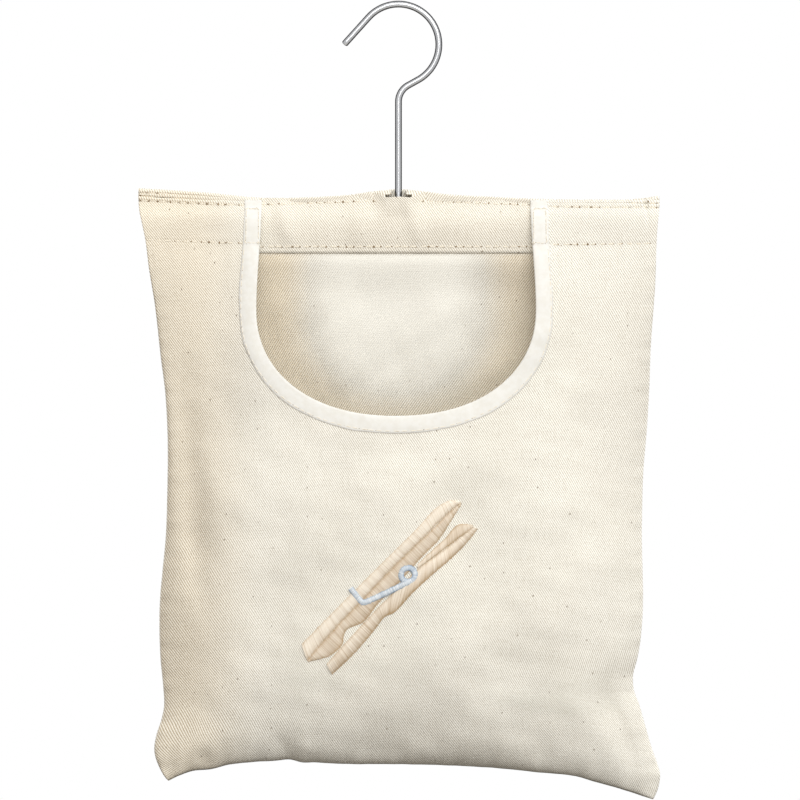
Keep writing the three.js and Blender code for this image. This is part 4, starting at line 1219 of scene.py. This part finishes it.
overlock = {
    "width": 7.0, "setback": 1.6, "cloth": 1.5, "pitch": 2.4, "radius": 0.2, "rows": 5, "shade": 0.3,
    # its thread: reach past the raw edge, and back from it, and distance from the cloth's middle at the edge
    "past": 0.3, "back": -3.6, "edgeRise": 0.25,
    "sideTop": -230.0, "sideLow": (-402.0, -410.0), "sideSteps": 60, "seam": 0.995, "forward": 8.2,
    "bottomEnd": 0.78, "bottomSteps": 80, "bottomRise": 0.3,
}


def overlockPiece(name, path, inward, *nodes):
    # path: seam points in mm; the allowance stands inwards from it, its raw edge wrapped in thread
    form = overlock
    rows = np.linspace(0, 1, form["rows"])
    grid = np.stack([path + inward * (form["setback"] + share * form["width"]) for share in rows], axis=1)
    at = distanceAlong(path)
    flat = np.stack(np.broadcast_arrays(at[:, None], (rows * form["width"])[None]), axis=-1)
    cloth = sheetMesh(name, grid, form["cloth"], flat)
    cloth.materials.append(twill)
    loops = []
    count = int(at[-1] / form["pitch"])
    rise = form["cloth"] / 2 + form["radius"]
    for side in (1, -1):
        line = []
        for k in range(2 * count + 1):
            place = np.array([np.interp(k * form["pitch"] / 2, at, path[:, axis]) for axis in range(3)])
            over, lift = (form["past"], form["edgeRise"]) if k % 2 else (form["back"], rise)
            depth = form["setback"] + form["width"] + over
            line.append(place + inward * depth + np.array([0, side * lift, 0]))
        loops.append(np.array(line))
    thread = strands.bake(lineMesh(loops, shade=[np.full(len(line), form["shade"]) for line in loops]),
                          {"Radius": form["radius"] * mm, "Thread": sewingThread})
    return addPiece(joinMeshes(name, [cloth, thread]), "bag", "sewing_thread", *nodes)


for name, side, low in zip(("left", "right"), (-1, 1), overlock["sideLow"]):
    z = np.linspace(overlock["sideTop"], low, overlock["sideSteps"])[::side]
    edge = np.full_like(z, side * overlock["seam"])
    rise = (z - bottomLevel(edge)) / (bagForm["hem"] - bottomLevel(edge))
    y = seamShift(edge, z) - overlock["forward"] * joinShare(rise)
    path = np.stack([edge * halfWidth(edge, z), y, z], axis=-1)
    overlockPiece(name + "SideSeamOverlock", path, np.array([-side, 0.0, 0.0]), f"{name}_side_seam_overlock")
u = np.linspace(-overlock["bottomEnd"], overlock["bottomEnd"], overlock["bottomSteps"])
z = bottomLevel(u) + overlock["bottomRise"]
path = np.stack([u * halfWidth(u, z), seamShift(u, z), z], axis=-1)
overlockPiece("bottomSeamOverlock", path, np.array([0.0, 0.0, 1.0]), "bottom_seam_overlock")
print("seams overlocked")


# embroidered spring peg

pegForm = {
    "coil": (5.6, -330.1), "angle": math.radians(45), "seed": 4,
    # edges of each satin face, (along, aside) from jaw to handle, mm from the coil
    "upperTop": ([(-71.6, 15.0), (-52, 15.2), (-30, 15.3), (0, 15.3), (20, 15.1), (42.6, 15.0),
                  (47.0, 13.2), (50.0, 10.2)],
                 [(-76.0, 6.0), (-54, 8.0), (-30, 8.6), (0, 9.4), (20, 9.1), (40.0, 8.9), (46.0, 8.6),
                  (50.7, 8.0)]),
    "upperSide": ([(-76.2, 5.8), (-64, 7.1), (-54, 7.7), (-51, 7.9), (-47, 8.1), (-42, 8.2), (-39, 8.3),
                   (-25, 8.6), (0, 9.1), (12, 9.0), (26, 8.6), (40, 8.5), (50.6, 7.7)],
                  [(-76.0, 5.2), (-64, -1.3), (-54, -0.9), (-52, 0.9), (-47.5, 2.7), (-42.5, 0.8),
                   (-39, -0.5), (-25, 0.5), (0, 0.8), (12, 1.8), (26, 1.8), (39, 4.4), (50.4, 7.0)]),
    "lowerTop": ([(8.4, 0.2), (19, 0.1), (30, -0.4), (41.1, -0.3), (46.4, -6.0)],
                 [(6.4, -1.4), (16, -2.8), (26.4, -4.4), (37, -6.0), (45.6, -7.2)]),
    "lowerSide": ([(-69.5, -3.2), (-53, -2.2), (-38, -1.6), (-24, -1.2), (-7, -1.4), (6.4, -1.8),
                   (16, -3.2), (26.4, -4.9), (37, -6.5), (46.2, -7.6)],
                  [(-71.4, -9.6), (-54, -10.0), (-38, -8.9), (-27, -7.5), (-21, -9.6), (-5, -9.2),
                   (10, -9.8), (22.6, -10.8), (37, -10.9), (46.8, -9.8)]),
}
springForm = {"radius": 4.0, "width": 3.0, "arm": 30.6, "hook": 9.2, "bend": 2.4,
              "armAngle": math.radians(160), "hookTurn": math.radians(76),
              "ringSteps": 60, "armSteps": 40, "bendSteps": 14}
satinForm = {
    "pitch": 0.46, "radius": 0.27, "points": 8, "arch": 0.55, "fullWidth": 6.0, "sink": 0.25, "paintedRimPower": 5,
    # random spread of the threads' ends, lift and tone
    "stray": 0.12, "strayWay": (0.5, 1.0), "liftStray": 0.03, "toneStray": 0.14,
    # padded ground under the threads
    "padPoints": 6, "padRows": 70, "padDrop": 0.2, "padDome": 0.1, "pad": 0.25, "padShade": 0.25,
    # each face: shade along its first and second edge, lift, dome, and how much painted shade its rims take
    "upperTop": ((0.0, 0.2), 0.35, 0.75, 0.6), "upperSide": ((0.38, 0.55), 0.3, 0.65, 0.6),
    "lowerTop": ((0.4, 0.5), 0.3, 0.5, 0.6), "lowerSide": ((0.08, 0.66), 0.35, 0.8, 0.6),
    "ring": ((0.4, 0.35), 1.15, 0.45, 0.8), "arm": ((0.15, 0.3), 1.25, 0.45, 0.8),
}


def onPeg(along, aside):
    cos, sin = math.cos(pegForm["angle"]), math.sin(pegForm["angle"])
    return pegForm["coil"][0] + along * cos - aside * sin, pegForm["coil"][1] + along * sin + aside * cos


def alongEdges(tables, count):
    # both edges of a face at evenly spaced stations along it
    step = sum(np.linalg.norm(np.diff(table, axis=0), axis=1) for table in tables)
    t = np.concatenate([[0], np.cumsum(step)]) / step.sum()
    at = np.linspace(0, 1, count)
    return [np.stack([curveThrough(list(zip(t, table[:, k])), at) for k in (0, 1)], axis=-1)
            for table in tables]


def satinFace(edges, look, rng):
    # threads laid side by side from one edge to the other, and a padded ground under them
    form = satinForm
    shades, base, dome, paintedRim = look
    tables = [np.array(edge, float) for edge in edges]
    count = int(max(distanceAlong(table)[-1] for table in tables) / form["pitch"])
    a, b = alongEdges(tables, count)
    share = np.linspace(0, 1, form["points"])
    arch = np.sin(math.pi * share) ** form["arch"]
    # painted shade: threads darker towards both ends, where they dive in at the face's rims
    paintedRimShade = paintedRim * np.abs(2 * share - 1) ** form["paintedRimPower"]
    lines, tones = [], []
    for k in range(count):
        stray = rng.normal(0, form["stray"], 2)
        first, last = (end + by * np.array(form["strayWay"]) for end, by in zip((a[k], b[k]), stray))
        flat = first + (last - first) * share[:, None]
        wide = min(1.0, np.linalg.norm(last - first) / form["fullWidth"])
        lift = base + dome * arch * wide + rng.normal(0, form["liftStray"]) - form["sink"] * (1 - arch)
        lines.append(frontPoint(*onPeg(flat[:, 0], flat[:, 1]), lift)[0])
        tones.append(mix(*shades, share) + paintedRimShade + rng.normal(0, form["toneStray"]))
    share = np.linspace(0, 1, form["padPoints"])
    ground = a[:, None] + (b - a)[:, None] * share[None, :, None]
    ground = ground[:: max(1, count // form["padRows"])]
    wide = np.minimum(1.0, np.linalg.norm(ground[:, -1] - ground[:, 0], axis=1) / form["fullWidth"])
    arch = np.sin(math.pi * share) ** form["arch"]
    height = base - form["padDrop"] + (dome - form["padDome"]) * arch * wide[:, None]
    return lines, tones, frontPoint(*onPeg(ground[..., 0], ground[..., 1]), height)[0]


def satinPiece(name, faces, material, slot, node, seed):
    # faces: name in satinForm, and both edges
    rng = np.random.default_rng(seed)
    meshes, lines, tones = [], [], []
    for face, edges in faces.items():
        look = satinForm[face]
        faceLines, faceTones, ground = satinFace(edges, look, rng)
        lines += faceLines
        tones += faceTones
        if gridNormals(ground)[..., 1].sum() > 0:  # turn it to face forwards
            ground = ground[::-1]
        pad = sheetMesh(name, ground, satinForm["pad"], np.zeros(ground.shape[:2] + (2,)))
        setAttribute(pad, "shade", np.full(len(pad.vertices), sum(look[0]) / 2 + satinForm["padShade"]))
        pad.materials.append(material)
        meshes.append(pad)
    threads = lineMesh(lines, shade=tones)
    meshes.append(strands.bake(threads, {"Radius": satinForm["radius"] * mm, "Thread": material}))
    return addPiece(joinMeshes(name, meshes), "bag", slot, node)


def springEdges():
    # middle line of the spring: round the coil, along the arm and over the upper leg
    form = springForm

    def circle(angle, radius):
        return np.stack([np.cos(angle), np.sin(angle)], axis=-1) * radius
    leave = form["armAngle"] + math.pi / 2
    ring = circle(leave + np.linspace(2 * math.pi, 0, form["ringSteps"]), form["radius"])
    way = circle(form["armAngle"], 1.0)
    run = form["arm"] - form["bend"] * math.tan(form["hookTurn"] / 2)
    arm = ring[-1] + way * np.linspace(0, run, form["armSteps"])[:, None]
    centre = arm[-1] + np.array([way[1], -way[0]]) * form["bend"]
    bend = centre + circle(leave - np.linspace(0, form["hookTurn"], form["bendSteps"]), form["bend"])
    last = circle(form["armAngle"] - form["hookTurn"], 1.0)
    hook = bend[-1] + last * np.linspace(0, form["hook"], form["bendSteps"])[:, None]
    sides = []
    for path in (ring, np.concatenate([arm, bend[1:], hook[1:]])):
        way = np.gradient(path, axis=0)
        way /= np.linalg.norm(way, axis=1, keepdims=True)
        aside = np.stack([way[:, 1], -way[:, 0]], axis=-1) * form["width"] / 2
        sides.append((path + aside, path - aside))
    return sides


for k, leg in enumerate(("upper", "lower")):
    faces = {leg + part: pegForm[leg + part] for part in ("Top", "Side")}
    satinPiece(f"embroideredPeg{leg.capitalize()}Leg", faces, satinBeige, "embroidery_beige",
               f"embroidered_peg_{leg}_leg", pegForm["seed"] + k)
faces = dict(zip(("ring", "arm"), springEdges()))
satinPiece("embroideredPegSpring", faces, satinBlue, "embroidery_blue", "embroidered_peg_spring",
           pegForm["seed"] + 2)
print("embroidered")


# wire hook

hookForm = {
    "wire": 2.0, "inner": 21.6, "tip": 20.5, "slope": math.radians(48), "throat": math.radians(61),
    "neck": 11.0, "headTop": -130.2,
    "sides": 24, "bowSteps": 110, "tipSteps": 14, "neckSteps": 24, "stemSteps": 31,
    "endPlace": 0.25,  # place round the wire whose look both ends take
    # filed round at the tip: distance, and share of the radius
    "filed": ((0.0, 0.35), (0.12, 0.62), (0.4, 0.86), (0.8, 1.0)),
    # peened head: level from its top, and radius
    "head": ((0.0, 2.0), (0.05, 2.4), (-0.25, 2.7), (-1.2, 2.7), (-1.5, 2.2), (-1.6, 0.6)),
}


def hookPath():
    form = hookForm
    bowRadius = form["inner"] + form["wire"]
    angle = np.linspace(math.pi / 2 + form["slope"], -form["throat"], form["bowSteps"])
    bow = np.stack([np.cos(angle), np.sin(angle)], axis=-1) * bowRadius + [0, -form["inner"]]
    tipWay = np.array([-math.cos(form["slope"]), -math.sin(form["slope"])])
    tip = bow[0] + tipWay * np.linspace(form["tip"], 0, form["tipSteps"])[:-1, None]
    neckWay = np.array([-math.sin(form["throat"]), -math.cos(form["throat"])])
    corner = bow[-1] + neckWay * bow[-1][0] / -neckWay[0]
    bendAngle = np.linspace(math.pi - form["throat"], math.pi, form["neckSteps"])
    level = corner[1] - form["neck"] * math.tan(form["throat"] / 2)
    bend = np.stack([np.cos(bendAngle), np.sin(bendAngle)], axis=-1) * form["neck"] + [form["neck"], level]
    down = np.linspace(bend[-1][1], form["headTop"], form["stemSteps"])[1:]
    stem = np.stack([np.zeros_like(down), down], axis=-1)
    return np.concatenate([tip, bow, bend, stem])


def hookMesh():
    form = hookForm
    path = hookPath()
    way = np.gradient(path, axis=0)
    way /= np.linalg.norm(way, axis=1, keepdims=True)
    filed, head = np.array(form["filed"]), np.array(form["head"])
    tip = path[0] + way[0] * (filed[:, :1] - filed[-1, 0])
    foot = np.stack([np.zeros(len(head)), form["headTop"] + head[:, 0]], axis=-1)
    radius = np.concatenate([filed[:, 1] * form["wire"], np.full(len(path) - 1, form["wire"]), head[:, 1]])
    path = np.concatenate([tip, path[1:], foot])
    way = np.concatenate([np.tile(way[0], (len(filed), 1)), way[1:], np.tile([0.0, -1.0], (len(head), 1))])
    angle = np.linspace(0, 2 * math.pi, form["sides"], endpoint=False)
    across = np.stack([way[:, 1], -way[:, 0]], axis=-1)
    ring = np.zeros((len(path), form["sides"], 3))
    ring[..., 0] = path[:, None, 0] + across[:, None, 0] * np.cos(angle) * radius[:, None]
    ring[..., 1] = np.sin(angle) * radius[:, None]
    ring[..., 2] = path[:, None, 1] + across[:, None, 1] * np.cos(angle) * radius[:, None]
    n = form["sides"]
    corners = ((0, 0), (0, 1), (1, 1), (1, 0))
    spots = [(i, j) for i in range(len(path) - 1) for j in range(n)]
    faces = [[(i + di) * n + (j + dj) % n for di, dj in corners] for i, j in spots]
    faces.append(list(range(n - 1, -1, -1)))
    faces.append([(len(path) - 1) * n + j for j in range(n)])
    mesh = bpy.data.meshes.new("hangerHook")
    mesh.from_pydata((ring.reshape(-1, 3) * mm).tolist(), [], faces)
    mesh.polygons.foreach_set("use_smooth", np.ones(len(faces), bool))
    at = distanceAlong(path) * mm
    place = [(at[i + di], (j + dj) / n) for i, j in spots for di, dj in corners]
    for end in (0, -1):
        place += [(at[end], form["endPlace"])] * n
    layer = mesh.uv_layers.new(name="wire")
    layer.data.foreach_set("uv", np.array(place, np.float32).ravel())
    return mesh


hangerHook = newObject("hangerHook", hookMesh(), steel)
addPiece(hangerHook, "hook", "hook_wire", "hanger_hook")
for node, material in (("hook_washer", steel), ("hanger_bar", wood)):
    frame["nodes"][node].data.materials.clear()
    frame["nodes"][node].data.materials.append(material)
print("hook, washer and bar done")


# stage, light and camera

studio = {
    "floor": -0.9, "floorRadius": 1.2, "floorSides": 96,
    "floorDark": srgb(216, 215, 212), "floorPale": srgb(221, 220, 217), "floorBounce": srgb(90, 88, 84),
    # soft light from all round, stronger and whiter along one axis
    "sky": (-0.3, 0.8), "skyAxis": (0.34, -0.5, 0.8), "skyStrength": (0.12, 1.1),
    "low": (1.0, 0.78, 0.54, 1.0), "high": (1.0, 1.0, 0.98, 1.0),
    # lamps: place, width and power
    "lamps": {
        "key": ((1.0, -2.2, 0.9), 0.9, 11.0), "front": ((0.15, -3.1, 0.9), 1.4, 36.4),
        "rearLeft": ((-1.6, 1.9, 0.8), 1.1, 38.0), "rearRight": ((1.7, 1.7, 0.6), 1.1, 38.0),
    },
    "distance": 3.0, "width": 0.4672, "aim": (0.0009, 0.0, -0.2292), "sensor": 36, "clip": (0.1, 30),
}


def makeFloor():
    mesh = bpy.data.meshes.new("floor")
    sides, radius = studio["floorSides"], studio["floorRadius"]
    ring = [(radius * math.cos(a), radius * math.sin(a), studio["floor"])
            for a in np.linspace(0, 2 * math.pi, sides, endpoint=False)]
    mesh.from_pydata(ring, [], [list(range(sides))])
    s = Shader("paleFloor", Roughness=0.9, Specular_IOR_Level=0.1)
    place = s.add("TexCoord").outputs["Object"]
    pale = s.blend(s.noise(place, 3), studio["floorDark"], studio["floorPale"])
    s.colour(s.blend(s.add("LightPath").outputs["Is Diffuse Ray"], pale, studio["floorBounce"]))
    newObject("floor", mesh, s.material)


def makeWorld():
    # white for the camera and in mirrors, a soft sky for the light
    world = bpy.data.worlds.new("studio")
    world.use_nodes = True
    nodes, link = world.node_tree.nodes, world.node_tree.links.new
    soft, white = nodes["Background"], nodes.new("ShaderNodeBackground")
    white.inputs["Color"].default_value = (1, 1, 1, 1)
    rays = nodes.new("ShaderNodeLightPath").outputs
    seen = rays["Is Camera Ray"]
    for kind in ("Is Glossy Ray", "Is Transmission Ray"):
        either = nodes.new("ShaderNodeMath")
        either.operation = "MAXIMUM"
        link(seen, either.inputs[0])
        link(rays[kind], either.inputs[1])
        seen = either.outputs[0]
    along = nodes.new("ShaderNodeVectorMath")
    along.operation = "DOT_PRODUCT"
    along.inputs[1].default_value = studio["skyAxis"]
    link(nodes.new("ShaderNodeTexCoord").outputs["Generated"], along.inputs[0])

    def overSky(low, high):
        node = nodes.new("ShaderNodeMapRange")
        for label, value in zip(("From Min", "From Max", "To Min", "To Max"), (*studio["sky"], low, high)):
            node.inputs[label].default_value = value
        link(along.outputs["Value"], node.inputs["Value"])
        return node.outputs["Result"]
    link(overSky(*studio["skyStrength"]), soft.inputs["Strength"])
    tint = nodes.new("ShaderNodeMix")
    tint.data_type = "RGBA"
    tint.inputs[6].default_value, tint.inputs[7].default_value = studio["low"], studio["high"]
    link(overSky(0.0, 1.0), tint.inputs["Factor"])
    link(tint.outputs[2], soft.inputs["Color"])
    choose = nodes.new("ShaderNodeMixShader")
    link(seen, choose.inputs[0])
    link(soft.outputs[0], choose.inputs[1])
    link(white.outputs[0], choose.inputs[2])
    link(choose.outputs[0], nodes["World Output"].inputs["Surface"])
    bpy.context.scene.world = world


def addLamp(name, place, size, power):
    lamp = bpy.data.lights.new(name, "AREA")
    lamp.shape, lamp.size, lamp.energy = "DISK", size, power
    holder = bpy.data.objects.new(name, lamp)
    holder.location = place
    way = Vector(studio["aim"]) - holder.location
    holder.rotation_euler = way.to_track_quat("-Z", "Y").to_euler()
    bpy.context.scene.collection.objects.link(holder)


makeFloor()
makeWorld()
for name, (place, size, power) in studio["lamps"].items():
    addLamp(name, place, size, power)
lens = bpy.data.cameras.new("camera")
lens.sensor_width = studio["sensor"]
lens.lens = studio["sensor"] * studio["distance"] / studio["width"]
lens.clip_start, lens.clip_end = studio["clip"]
camera = bpy.data.objects.new("camera", lens)
camera.location = (studio["aim"][0], -studio["distance"], studio["aim"][2])
camera.rotation_euler = (math.pi / 2, 0, 0)
bpy.context.scene.collection.objects.link(camera)
bpy.context.scene.camera = camera
bpy.context.scene.view_settings.view_transform = "Standard"
print("studio set")
